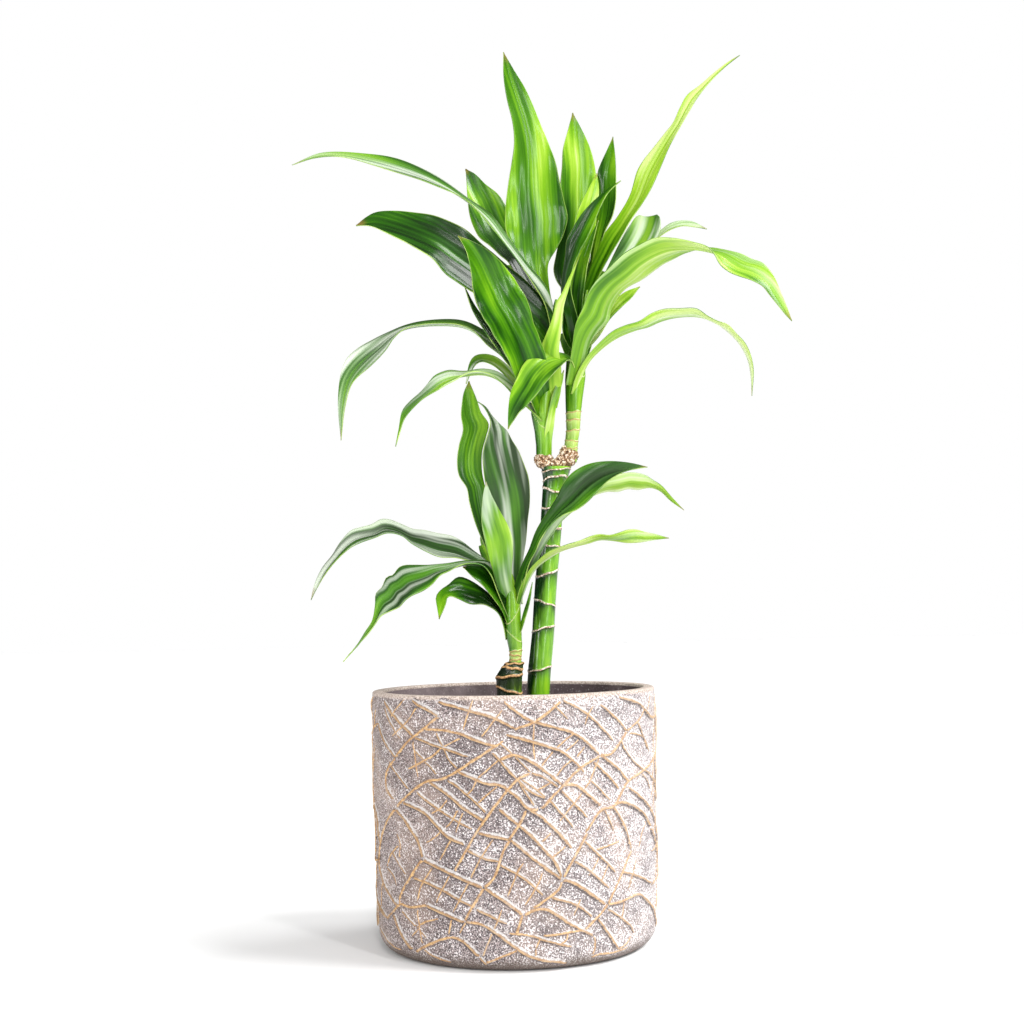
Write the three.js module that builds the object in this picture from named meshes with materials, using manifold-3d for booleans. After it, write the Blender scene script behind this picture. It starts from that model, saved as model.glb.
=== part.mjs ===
// Potted dracaena: a cement pot with a raised net of ridges, filled with soil, in which stand
// a ringed green cane that forks into two leafy crowns and a short cut cane with one leafy shoot.
// Millimetres, +Z up. The origin is the centre of the pot's underside and -Y is the front.

import * as THREE from 'three';
import { mergeVertices } from 'three/addons/utils/BufferGeometryUtils.js';
import Module from 'manifold-3d';

const wasm = await Module();
wasm.setup();

// ---------------------------------------------------------------- driving dimensions

const GAP = 0.3; // clearance between pieces that touch
const POT_HEIGHT = 140;
const POT_RIM_RADIUS = 79; // outside of the wall at the rim
const POT_FOOT_RADIUS = 77; // outside of the wall above the rounded foot
const POT_FOOT_ROUND = 10; // radius of the rounded lower edge
const POT_WALL = 6.5;
const POT_FLOOR = 9;
const POT_SIDES = 40;
const RIM_ROUND = 1.2;

const SOIL_TOP = 118;
const SOIL_ROUGHNESS = 1.6;
const CANE_FOOT = 62; // height of the buried lower ends of both canes

const MAIN_RIDGE = { height: 1.4, width: 3.2, sunk: 0.9, step: 16 };
const BRANCH_RIDGE = { height: 1.0, width: 2.4, sunk: 0.8, step: 16 };
const FINE_RIDGE = { height: 0.8, width: 2.0, sunk: 0.7, step: 16 };

const LEAF_RIB_THICKNESS = 1.3;
const LEAF_EDGE_THICKNESS = 0.8;

// The camera that fits the photo, through which the pot's ridges are traced.
const CAMERA_PLACE = new THREE.Vector3(1.34, -850, 184);
const CAMERA_PITCH = 0.0648; // radians up from level
const CAMERA_ROLL = 0.0192; // radians
const FOCAL_PIXELS = 1502;
const PHOTO_MIDDLE = 512; // pixels

// ---------------------------------------------------------------- materials

function material(color, roughness, metalness = 0) {
  return new THREE.MeshStandardMaterial({ color, roughness, metalness });
}

const cement = material(0xa89c97, 0.9);
const pottingSoil = material(0x3b2a1f, 1.0);
const caneGreen = material(0x4c7d1c, 0.35);
const callusBrown = material(0x9a6b45, 0.9);
const oldCane = material(0x2f3d17, 0.6);
const leafGreen = material(0x4f9a1e, 0.3);
const deepLeafGreen = material(0x3f8a22, 0.3);

// ---------------------------------------------------------------- small helpers

/** A repeatable value from 0 to 1 for the n-th draw of anything that varies by chance. */
function chance(n) {
  const value = Math.sin(n * 12.9898) * 43758.5453;
  return value - Math.floor(value);
}

/** Linear interpolation in a list of evenly spaced values, with t from 0 to 1. */
function along(values, t) {
  const place = Math.min(Math.max(t, 0), 1) * (values.length - 1);
  const index = Math.min(Math.floor(place), values.length - 2);
  return THREE.MathUtils.lerp(values[index], values[index + 1], place - index);
}

/** Interpolation in [height, value, value...] rows; gives the values at height z. */
function atHeight(rows, z) {
  const top = rows.findIndex((row) => row[0] >= z);
  if (top === 0) return rows[0].slice(1);
  if (top < 0) return rows[rows.length - 1].slice(1);
  const [low, high] = [rows[top - 1], rows[top]];
  const share = (z - low[0]) / (high[0] - low[0]);
  return low.slice(1).map((value, k) => THREE.MathUtils.lerp(value, high[k + 1], share));
}

/** A closed geometry as a solid: shared vertices merged, flat triangles dropped, faces outwards. */
function toSolid(geometry) {
  geometry.deleteAttribute('normal');
  geometry.deleteAttribute('uv');
  const merged = mergeVertices(geometry, 1e-3);
  const position = merged.getAttribute('position');
  const index = merged.getIndex().array;
  const corners = [];
  for (let i = 0; i < index.length; i += 3) {
    const [a, b, c] = [index[i], index[i + 1], index[i + 2]];
    if (a !== b && b !== c && c !== a) corners.push(a, b, c);
  }
  const point = (k) => new THREE.Vector3().fromBufferAttribute(position, k);
  let volume = 0;
  for (let i = 0; i < corners.length; i += 3) {
    volume += point(corners[i]).dot(point(corners[i + 1]).cross(point(corners[i + 2])));
  }
  if (volume < 0) corners.reverse();
  const mesh = new wasm.Mesh({
    numProp: 3,
    vertProperties: new Float32Array(position.array),
    triVerts: new Uint32Array(corners),
  });
  return new wasm.Manifold(mesh);
}

/** The solid's surface as a geometry. */
function toGeometry(solid) {
  const mesh = solid.getMesh();
  const geometry = new THREE.BufferGeometry();
  geometry.setAttribute('position', new THREE.BufferAttribute(mesh.vertProperties, 3));
  geometry.setIndex(new THREE.BufferAttribute(mesh.triVerts, 1));
  geometry.computeVertexNormals();
  return geometry;
}

/**
 * Joins closed sections of equal count into a skin. A quad in mirrored (a list of section
 * edges) is split along its other diagonal. Both ends are closed by the triangles of caps.
 */
function loft(sections, caps, mirrored = []) {
  const count = sections[0].length;
  const vertices = sections.flat().flatMap((point) => point.toArray());
  const triangles = [];
  for (let i = 0; i + 1 < sections.length; i += 1) {
    for (let j = 0; j < count; j += 1) {
      const a = i * count + j;
      const b = i * count + ((j + 1) % count);
      const [c, d] = [b + count, a + count];
      if (mirrored.includes(j)) triangles.push(a, b, d, b, c, d);
      else triangles.push(a, b, c, a, c, d);
    }
  }
  const last = (sections.length - 1) * count;
  for (const [a, b, c] of caps) {
    triangles.push(c, b, a);
    triangles.push(last + a, last + b, last + c);
  }
  const geometry = new THREE.BufferGeometry();
  geometry.setAttribute('position', new THREE.Float32BufferAttribute(vertices, 3));
  geometry.setIndex(triangles);
  return toSolid(geometry);
}

/** Triangles that close a round section of the given count. */
function fan(count) {
  return Array.from({ length: count - 2 }, (_, k) => [0, k + 1, k + 2]);
}

/** An upright stem through rows of [height, x, y, radius], cut level at the given heights. */
function stem(rows, heights, sides, extraRadius = 0) {
  const sections = heights.map(([z, swell]) => {
    const [x, y, radius] = atHeight(rows, z);
    return Array.from({ length: sides }, (_, k) => {
      const angle = (2 * Math.PI * k) / sides;
      const reach = radius + swell + extraRadius;
      return new THREE.Vector3(x + reach * Math.cos(angle), y + reach * Math.sin(angle), z);
    });
  });
  return loft(sections, fan(sides));
}

/** Section heights from low to high with a leaf-scar ring, a small swelling, at each ring. */
function ringedHeights(low, high, rings, swell) {
  const heights = [[low, 0]];
  for (const z of rings) {
    heights.push([z - 1.2, 0]);
    heights.push([z, swell]);
    heights.push([z + 1, -0.2]);
  }
  heights.push([high, 0]);
  return heights;
}

/** A body of revolution from [radius, height] rows that start and end on the axis. */
function turned(profile, sides) {
  const points = profile.map(([radius, height]) => new THREE.Vector2(radius, height));
  const geometry = new THREE.LatheGeometry(points, sides);
  geometry.rotateX(Math.PI / 2);
  return geometry;
}

// ---------------------------------------------------------------- pot

/** Outside radius of the plain wall at height z. */
function wallRadius(z) {
  const round = POT_FOOT_ROUND;
  const share = (z - round) / (POT_HEIGHT - round);
  if (z >= round) return THREE.MathUtils.lerp(POT_FOOT_RADIUS, POT_RIM_RADIUS, share);
  return POT_FOOT_RADIUS - round + Math.sqrt(round * round - (round - z) ** 2);
}

const POT_BORE_RIM = POT_RIM_RADIUS - POT_WALL;
const POT_BORE_FLOOR = POT_FOOT_RADIUS - POT_WALL - 1;

function potWall() {
  const footArc = [0, 30, 60, 90].map((degrees) => {
    const angle = THREE.MathUtils.degToRad(degrees);
    const round = POT_FOOT_ROUND;
    return [POT_FOOT_RADIUS - round + round * Math.sin(angle), round - round * Math.cos(angle)];
  });
  const profile = [
    [0, 0],
    ...footArc,
    [POT_RIM_RADIUS, POT_HEIGHT - RIM_ROUND],
    [POT_RIM_RADIUS - RIM_ROUND, POT_HEIGHT],
    [POT_BORE_RIM + RIM_ROUND, POT_HEIGHT],
    [POT_BORE_RIM, POT_HEIGHT - RIM_ROUND],
    [POT_BORE_FLOOR, POT_FLOOR],
    [0, POT_FLOOR],
  ];
  return toSolid(turned(profile, POT_SIDES));
}

// The net of ridges on the front half, traced over the photo in [column, row] pixels.
// The mould's pattern comes once more on the back half.
const MAIN_LINES = [
  [[412, 700], [439, 716]],
  [[439, 716], [412, 738], [396, 758]],
  [[384, 700], [414, 736]],
  [[437, 701], [496, 719], [515, 729]],
  [[424, 729], [454, 732], [487, 744], [499, 746]],
  [[396, 808], [418, 787], [429, 781], [451, 775], [505, 740]],
  [[429, 782], [484, 821]],
  [[457, 771], [488, 784], [499, 785], [516, 796], [529, 809], [540, 810]],
  [[403, 802], [425, 813], [448, 837], [466, 845]],
  [[396, 808], [385, 830], [381, 860], [384, 880], [400, 908]],
  [[396, 809], [417, 838], [423, 859]],
  [[423, 859], [405, 888], [401, 905]],
  [[423, 859], [484, 888]],
  [[484, 888], [523, 915]],
  [[454, 873], [479, 829], [502, 797], [516, 781], [531, 773]],
  [[484, 888], [495, 876], [505, 848], [510, 840]],
  [[484, 888], [465, 921]],
  [[478, 833], [510, 840]],
  [[510, 839], [562, 880]],
  [[400, 903], [413, 907], [427, 905]],
  [[427, 905], [465, 922]],
  [[465, 922], [478, 923], [487, 927], [526, 954], [538, 959], [568, 963]],
  [[416, 952], [433, 943], [453, 937], [463, 941], [480, 957]],
  [[394, 914], [404, 937], [413, 949]],
  [[401, 904], [388, 919]],
  [[502, 700], [528, 719], [575, 734], [600, 755]],
  [[600, 755], [616, 767], [628, 781]],
  [[600, 755], [608, 755], [613, 751], [626, 731]],
  [[619, 697], [637, 703], [643, 708]],
  [[499, 760], [515, 755], [533, 763], [562, 785]],
  [[505, 734], [560, 751], [585, 773]],
  [[513, 730], [536, 721], [561, 701]],
  [[600, 755], [572, 775], [540, 810]],
  [[529, 809], [545, 820], [573, 849]],
  [[498, 808], [529, 834], [549, 855], [557, 865], [562, 879]],
  [[526, 810], [509, 840]],
  [[562, 785], [570, 784], [577, 786], [600, 806]],
  [[585, 833], [601, 810], [613, 806], [626, 783], [650, 763]],
  [[587, 832], [563, 878]],
  [[613, 806], [624, 827], [630, 849]],
  [[630, 849], [608, 903]],
  [[562, 880], [572, 882], [581, 887], [606, 905]],
  [[608, 904], [616, 903], [638, 894], [650, 905]],
  [[608, 904], [585, 930]],
  [[523, 916], [539, 909], [548, 910], [594, 936]],
  [[562, 881], [560, 887], [533, 908]],
  [[523, 915], [516, 935]],
  [[598, 919], [618, 949]],
  [[628, 787], [650, 809]],
  [[613, 804], [622, 802], [631, 805], [642, 813], [650, 827]],
  [[396, 758], [387, 774], [387, 787], [394, 800]],
];

// The lower ridges that part the net's larger cells.
const BRANCH_LINES = [
  [[416, 791], [450, 817], [473, 830]],
  [[378, 722], [386, 743], [396, 758]],
  [[414, 737], [470, 757]],
  [[443, 747], [434, 755], [407, 770]],
  [[491, 751], [531, 792], [547, 798]],
  [[447, 780], [457, 786], [487, 813]],
  [[413, 877], [435, 886], [475, 908]],
  [[467, 850], [483, 858], [500, 862]],
  [[499, 864], [526, 880], [544, 896]],
  [[424, 949], [434, 956], [452, 963]],
  [[593, 762], [619, 789]],
  [[561, 699], [586, 713], [614, 742]],
  [[643, 708], [640, 717], [626, 731]],
  [[600, 704], [618, 720], [626, 731]],
  [[620, 738], [625, 750], [632, 759], [650, 774]],
  [[531, 773], [541, 776], [558, 787]],
  [[560, 790], [588, 818]],
  [[549, 800], [574, 828]],
  [[551, 897], [578, 906], [593, 917]],
  [[584, 841], [616, 873]],
  [[574, 861], [583, 866], [610, 889]],
  [[621, 872], [632, 874], [650, 883]],
  [[608, 909], [624, 920], [631, 927], [634, 934]],
  [[618, 949], [631, 936]],
  [[591, 957], [628, 947]],
  [[594, 936], [592, 955]],
  [[508, 933], [533, 936], [573, 947]],
  [[543, 936], [583, 930]],
  [[476, 909], [508, 924]],
  [[486, 963], [518, 950]],
];

// The longest of the fine ridges that cross the cells.
const FINE_LINES = [
  [[433, 867], [418, 903]],
  [[450, 875], [436, 904]],
  [[525, 861], [507, 898]],
  [[543, 872], [524, 907]],
  [[494, 838], [470, 880]],
  [[582, 792], [558, 823]],
  [[533, 723], [535, 760]],
];

// The ridges at the side, which the photo doesn't show, join the two halves' nets.
// Their points are [degrees round from the front, height].
const SIDE_LINES = [
  [[62, 130], [72, 124], [84, 125], [95, 131], [103, 138]],
  [[70, 99], [78, 104], [86, 112], [98, 118], [111, 124]],
  [[84, 125], [86, 112]],
  [[69, 93], [77, 88], [84, 79], [92, 75], [101, 78]],
  [[78, 104], [82, 92], [84, 79]],
  [[69, 75], [78, 67], [86, 55], [98, 48], [108, 50]],
  [[69, 65], [76, 57], [81, 47], [82, 37]],
  [[68, 35], [75, 36], [82, 37], [92, 34], [102, 26], [116, 20]],
  [[68, 24], [75, 17], [80, 9]],
  [[82, 37], [85, 46], [86, 55]],
  [[92, 34], [91, 22], [97, 11]],
  [[98, 48], [103, 62], [101, 78], [99, 95], [98, 118]],
  [[101, 78], [107, 71], [111, 58]],
];

/** A [degrees, height] point on the unrolled wall, in mm round and mm up. */
function unrolled([degrees, z]) {
  return new THREE.Vector2(THREE.MathUtils.degToRad(degrees) * POT_RIM_RADIUS, z);
}

/** Where the photo's pixel meets the front of the wall, in mm round and mm up. */
function traced([column, row]) {
  const across = (column - PHOTO_MIDDLE) / FOCAL_PIXELS;
  const up = (PHOTO_MIDDLE - row) / FOCAL_PIXELS;
  const sight = new THREE.Vector3(across, 1, up);
  sight.applyAxisAngle(new THREE.Vector3(0, 1, 0), CAMERA_ROLL);
  sight.applyAxisAngle(new THREE.Vector3(1, 0, 0), CAMERA_PITCH);
  const { x, y } = CAMERA_PLACE;
  const a = sight.x ** 2 + sight.y ** 2;
  const b = x * sight.x + y * sight.y;
  const hit = new THREE.Vector3();
  let z = POT_HEIGHT / 2;
  for (let round = 0; round < 3; round += 1) {
    const c = x ** 2 + y ** 2 - wallRadius(z) ** 2;
    hit.copy(CAMERA_PLACE).addScaledVector(sight, (-b - Math.sqrt(b * b - a * c)) / a);
    z = hit.z;
  }
  return new THREE.Vector2(Math.atan2(hit.x, -hit.y) * POT_RIM_RADIUS, hit.z);
}

/** The line's points, with more between them where it runs far round the wall or has no middle. */
function divided(line, longest) {
  const least = line.length === 2 ? 2 : 1;
  const points = [line[0]];
  line.slice(1).forEach((end, n) => {
    const count = Math.max(least, Math.ceil(Math.abs(end.x - line[n].x) / longest));
    for (let k = 1; k <= count; k += 1) points.push(line[n].clone().lerp(end, k / count));
  });
  return points;
}

/** One ridge of three-sided section along a line on the unrolled wall, dying out at its ends. */
function ridge(line, { height, width, sunk, step }, turnDegrees) {
  const points = divided(line, step);
  const last = points.length - 1;
  const halfBase = (width / 2) * ((height + sunk) / height);
  const turn = THREE.MathUtils.degToRad(turnDegrees);
  const onWall = (place, proud) => {
    const angle = place.x / POT_RIM_RADIUS - Math.PI / 2 + turn;
    const radius = wallRadius(place.y) + proud;
    return new THREE.Vector3(radius * Math.cos(angle), radius * Math.sin(angle), place.y);
  };
  const sections = points.map((place, k) => {
    const before = points[Math.max(k - 1, 0)];
    const after = points[Math.min(k + 1, last)];
    const tangent = after.clone().sub(before).normalize();
    const side = new THREE.Vector2(-tangent.y, tangent.x);
    const isEnd = k === 0 || k === last;
    const proud = isEnd ? -0.3 * sunk : height * (0.92 + 0.16 * chance(k + place.x));
    const reach = isEnd ? 0.6 * halfBase : halfBase;
    return [
      onWall(place.clone().addScaledVector(side, reach), -sunk),
      onWall(place, proud),
      onWall(place.clone().addScaledVector(side, -reach), -sunk),
    ];
  });
  return loft(sections, [[0, 1, 2]]);
}

function makePot() {
  const ridges = [
    ...MAIN_LINES.map((line) => [line.map(traced), MAIN_RIDGE]),
    ...BRANCH_LINES.map((line) => [line.map(traced), BRANCH_RIDGE]),
    ...FINE_LINES.map((line) => [line.map(traced), FINE_RIDGE]),
    ...SIDE_LINES.map((line) => [line.map(unrolled), MAIN_RIDGE]),
  ];
  let solid = potWall();
  for (const turn of [0, 180]) {
    for (const [line, size] of ridges) {
      solid = solid.add(ridge(line, size, turn));
    }
  }
  return solid;
}

// ---------------------------------------------------------------- canes

// Rows of [height, x, y, radius].
const MAIN_CANE = [
  [CANE_FOOT, 10, 6, 6.5],
  [138, 14.4, 6, 6.5],
  [151, 15.4, 6, 6.6],
  [172, 17.8, 6, 6.3],
  [203, 20.3, 6, 6.2],
  [234, 23.8, 5, 6.1],
  [257, 26.2, 4, 6.8],
  [264.5, 27, 4, 8.6],
];
const MAIN_CANE_RINGS = [150.5, 172.6, 188, 204.3, 220.3, 228.8, 241.9, 251.7, 257.4];
const MAIN_CANE_TOP = 264.5;

const SHORT_CANE = [
  [CANE_FOOT, -3, -6, 7],
  [139, -2, -6, 7],
  [147, -2, -6, 7.4],
  [151, -0.5, -6, 6.2],
  [155, 1.4, -6, 5],
];
const SHORT_CANE_RINGS = [139.5, 146.5, 151.5];
const SHORT_CANE_TOP = 155;

const LEFT_STEM = [
  [267, 20, 4, 4.4],
  [277, 20.3, 3.5, 4.5],
  [285, 20.2, 3, 5],
  [295, 19.6, 2, 6.2],
  [312, 21.6, 2, 6.2],
  [332, 25, 2, 5.4],
  [349, 27.5, 2, 3.8],
  [361, 28.9, 2, 1.5],
];

const RIGHT_STEM = [
  [267, 34.4, 4, 4.3],
  [280, 36.3, 4.5, 3.8],
  [286, 37.3, 5, 3.9],
  [296, 37.7, 5, 4.4],
  [304, 38.1, 5, 4.9],
  [315, 38.9, 5, 5.8],
  [328, 40.4, 5, 6],
  [341, 42.4, 5, 5],
  [355, 45, 6, 3.4],
  [367, 47, 6, 1.5],
];
const RIGHT_STEM_RINGS = [275, 279.5, 285.5, 291.5];

const SHOOT_STEM = [
  [151, 1.2, -6, 3.2],
  [160, 1.8, -6, 3.6],
  [170, 1.1, -6, 4.6],
  [178, 0.5, -6, 5],
  [187, 0.3, -5, 5.2],
  [195, -0.1, -5, 4.2],
  [204, 0.1, -5, 1.5],
];

const CANE_SIDES = 12;
const STEM_SIDES = 10;

function rowHeights(rows) {
  return rows.map(([z]) => [z, 0]);
}

function makeMainCane() {
  const heights = ringedHeights(CANE_FOOT, MAIN_CANE_TOP, MAIN_CANE_RINGS, 0.7);
  return stem(MAIN_CANE, heights, CANE_SIDES);
}

/** A hole's core: the stem, wider all round by the gap and starting lower by it. */
function core(rows, sides) {
  const [foot, ...rest] = rows;
  const lowered = [[foot[0] - GAP, ...foot.slice(1)], ...rest];
  return stem(lowered, rowHeights(lowered), sides, GAP + 0.1);
}

function makeShortCane() {
  const heights = ringedHeights(CANE_FOOT, SHORT_CANE_TOP, SHORT_CANE_RINGS, 0.5);
  return stem(SHORT_CANE, heights, CANE_SIDES).subtract(core(SHOOT_STEM, STEM_SIDES));
}

/** A lump of callus: a ball stretched to the radii, with knobs of the given depth. */
function lump([x, y, z], [rx, ry, rz], knobs, draw) {
  const geometry = new THREE.IcosahedronGeometry(1, 1);
  const position = geometry.getAttribute('position');
  for (let k = 0; k < position.count; k += 1) {
    const point = new THREE.Vector3().fromBufferAttribute(position, k);
    const code = Math.round(point.x * 50) + 3 * Math.round(point.y * 50) + 7 * Math.round(point.z * 50);
    point.multiplyScalar(1 + knobs * (chance(code + draw) - 0.5));
    position.setXYZ(k, x + rx * point.x, y + ry * point.y, z + rz * point.z);
  }
  return toSolid(geometry);
}

/** The brown scar tissue where the two new stems broke out of the cut cane. */
function makeCallus() {
  const seat = new THREE.BoxGeometry(60, 60, 20);
  seat.translate(27, 4, MAIN_CANE_TOP + GAP - 10);
  return lump([20.3, 4, 268.5], [6.6, 6.6, 5], 0.14, 11)
    .add(lump([33.8, 4, 269.5], [7.2, 6.6, 6], 0.14, 12))
    .add(lump([27, 4, 265.5], [8.5, 7, 3.6], 0.14, 13))
    .subtract(toSolid(seat))
    .subtract(core(LEFT_STEM, STEM_SIDES))
    .subtract(core(RIGHT_STEM, STEM_SIDES));
}

// ---------------------------------------------------------------- soil

function makeSoil() {
  const share = (SOIL_TOP - POT_FLOOR) / (POT_HEIGHT - RIM_ROUND - POT_FLOOR);
  const radius = THREE.MathUtils.lerp(POT_BORE_FLOOR, POT_BORE_RIM, share) - GAP;
  const low = POT_BORE_FLOOR - GAP;
  const foot = POT_FLOOR + GAP;
  const profile = [
    [0, foot],
    [low, foot],
    [radius, SOIL_TOP],
    [radius * 0.75, SOIL_TOP],
    [radius * 0.5, SOIL_TOP],
    [radius * 0.25, SOIL_TOP],
    [0, SOIL_TOP],
  ];
  const geometry = turned(profile, 32);
  const position = geometry.getAttribute('position');
  for (let k = 0; k < position.count; k += 1) {
    const [x, y, z] = [position.getX(k), position.getY(k), position.getZ(k)];
    const inside = Math.hypot(x, y) < 0.9 * radius;
    if (z > SOIL_TOP - 1 && inside) {
      const draw = Math.round(x) * 3 + Math.round(y) * 7;
      position.setZ(k, z + SOIL_ROUGHNESS * (chance(draw) - 0.5));
    }
  }
  return toSolid(geometry)
    .subtract(core(MAIN_CANE, CANE_SIDES))
    .subtract(core(SHORT_CANE, CANE_SIDES));
}

// ---------------------------------------------------------------- leaves

/**
 * A leaf is given by its midrib, points [x, y, z] from inside the stem to the tip, its
 * greatest width, where along it that lies, and how far its upper face is turned from
 * facing the front, in degrees, at evenly spaced places from root to tip.
 */
const LEFT_CROWN_LEAVES = [
  {
    midrib: [[26, 3, 341], [23, 5, 368], [21, 7, 391], [19, 8, 421], [16, 8, 451], [10, 7, 480], [2, 4, 507]],
    width: 35, widest: 0.4, turn: [30, 10, 5, 10, 25], waves: 3,
  },
  {
    midrib: [[28, 2, 340], [20, -5, 366], [9, -9, 390], [-6, -10, 405], [-21, -8, 418],
      [-41, -2, 431], [-63, 8, 442], [-92, 22, 454], [-128, 42, 455]],
    width: 20, widest: 0.3, turn: [40, 55, 84, 66, 60, 55], waves: 3,
  },
  {
    midrib: [[27, 0, 334], [15, -10, 357], [0, -17, 373], [-19, -23, 381], [-38, -27, 391],
      [-60, -28, 398], [-82, -26, 399]],
    width: 32, widest: 0.5, turn: [40, 25, 30, 45, 55], waves: 2,
  },
  {
    midrib: [[28, 6, 347], [14, 14, 378], [2, 22, 403], [-11, 29, 426], [-23, 35, 448]],
    width: 24, widest: 0.5, turn: [40, 35, 30, 30, 40], waves: 2,
  },
  {
    midrib: [[20, 0, 296], [11, -14, 308], [4, -24, 328], [-2, -30, 348], [-8, -34, 365],
      [-16, -40, 377], [-25, -48, 386]],
    width: 31, widest: 0.55, turn: [30, 20, 20, 15, 5], waves: 3,
  },
  {
    midrib: [[20, 2, 300], [7, -2, 322], [-11, -4, 339], [-25, -4, 347], [-43, -1, 349],
      [-61, 5, 347], [-77, 12, 337], [-92, 19, 323], [-99, 27, 306], [-99, 36, 286]],
    width: 20, widest: 0.5, turn: [60, 65, 62, 55, 65, 70], waves: 3,
  },
  {
    midrib: [[20, 0, 292], [10, -8, 304], [-3, -16, 313], [-15, -24, 316], [-29, -32, 312],
      [-42, -40, 305], [-53, -46, 294], [-58, -50, 284], [-60, -53, 272]],
    width: 20, widest: 0.5, turn: [60, 65, 62, 55, 60], waves: 2,
  },
  {
    midrib: [[21, 4, 298], [9, 12, 319], [-3, 20, 330], [-13, 26, 334], [-21, 30, 329], [-25, 31, 318]],
    width: 11, widest: 0.5, turn: [60, 110, 125, 60], waves: 1,
  },
  {
    midrib: [[22, -2, 309], [23, -10, 326], [29, -17, 346], [35, -21, 364], [41, -22, 379]],
    width: 11, widest: 0.25, turn: [180, 180, 170, 150], waves: 1,
  },
  {
    midrib: [[20, 1, 298], [5, -6, 318], [-9, -12, 339], [-18, -15, 353], [-23, -16, 366]],
    width: 11, widest: 0.5, turn: [60, 55, 50], waves: 1,
  },
  {
    midrib: [[21, 0, 280], [24, -3, 292], [28, -3, 302], [32, -2, 311]],
    width: 5.5, widest: 0.5, turn: [120, 130, 120], waves: 0,
  },
  {
    midrib: [[26, 4, 338], [14, 26, 364], [0, 52, 384], [-14, 76, 384]],
    width: 26, widest: 0.5, turn: [20, 0, -10], waves: 2,
  },
  {
    midrib: [[22, 4, 304], [16, 24, 332], [10, 48, 350], [6, 72, 346], [6, 88, 330]],
    width: 22, widest: 0.5, turn: [0, 0, 10, 10], waves: 2,
  },
];

const RIGHT_CROWN_LEAVES = [
  {
    midrib: [[43, 8, 350], [41, 15, 381], [41, 20, 415], [44, 23, 448], [42, 24, 477]],
    width: 21, widest: 0.6, turn: [10, 10, 15, 20], waves: 3,
  },
  {
    midrib: [[45, 9, 350], [52, 15, 381], [59, 20, 408], [63, 24, 436], [66, 27, 463]],
    width: 17, widest: 0.5, turn: [-30, -45, -45, -40], waves: 2,
  },
  {
    midrib: [[44, 6, 344], [54, 7, 371], [65, 9, 395], [80, 11, 425], [94, 14, 453], [115, 20, 486],
      [143, 32, 513]],
    width: 17, widest: 0.45, turn: [-35, -45, -45, -40, -50], waves: 2,
  },
  {
    midrib: [[39, 2, 311], [43, -8, 333], [50, -18, 349], [61, -27, 361], [76, -34, 373], [93, -40, 381],
      [110, -44, 377], [125, -46, 369], [142, -46, 356], [155, -43, 337]],
    width: 28, widest: 0.45, turn: [-150, -135, -120, -95, -60, -50, -50], waves: 3,
  },
  {
    midrib: [[39, 2, 306], [44, -3, 317], [53, -4, 330], [65, -3, 339], [81, 1, 347], [98, 7, 352],
      [114, 14, 352], [129, 22, 343], [141, 30, 332], [146, 37, 320], [146, 43, 309]],
    width: 14, widest: 0.5, turn: [-120, -112, -112, -108, -90, -60], waves: 2,
  },
  {
    midrib: [[44, 9, 341], [61, 24, 380], [75, 38, 405], [88, 52, 422], [94, 70, 424], [98, 84, 415]],
    width: 20, widest: 0.6, turn: [0, 0, 0, 0], waves: 1,
  },
  {
    midrib: [[44, 10, 344], [66, 40, 386], [86, 56, 404], [99, 58, 415], [112, 58, 420], [124, 58, 415]],
    width: 8, widest: 0.8, turn: [-50, -50, -60, -50], waves: 0,
  },
  {
    midrib: [[41, 2, 331], [37, -6, 352], [37, -12, 372], [41, -17, 389], [49, -22, 405], [57, -27, 414],
      [65, -32, 420]],
    width: 15, widest: 0.5, turn: [-10, -15, -20, -40, -60], waves: 1,
  },
  {
    midrib: [[42, 4, 343], [39, 2, 369], [42, 1, 395], [48, 0, 415], [54, 0, 434]],
    width: 12, widest: 0.6, turn: [20, 20, 20], waves: 1,
  },
  {
    midrib: [[42, 2, 334], [41, -3, 356], [44, -5, 377], [49, -5, 392], [54, -4, 405]],
    width: 11, widest: 0.5, turn: [-20, -30, -30], waves: 1,
  },
  {
    midrib: [[41, 3, 337], [34, 0, 359], [31, -2, 377], [35, -3, 393], [41, -3, 403]],
    width: 12, widest: 0.55, turn: [30, 40, 40], waves: 0,
  },
  {
    midrib: [[42, 6, 329], [53, 9, 345], [65, 12, 360], [78, 15, 370]],
    width: 9, widest: 0.6, turn: [-50, -60, -60], waves: 1,
  },
  {
    midrib: [[39, 2, 319], [36, -10, 325], [26, -22, 324], [15, -31, 313], [6, -36, 299], [0, -38, 282]],
    width: 19, widest: 0.55, turn: [60, 35, 30, 30, 30], waves: 1,
  },
  {
    midrib: [[44, 8, 342], [53, 34, 370], [60, 62, 380], [64, 86, 366]],
    width: 26, widest: 0.5, turn: [-10, 0, 10], waves: 2,
  },
  {
    midrib: [[40, 6, 316], [41, 26, 338], [42, 50, 344], [44, 70, 332]],
    width: 20, widest: 0.5, turn: [10, 0, 0], waves: 2,
  },
];

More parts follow.
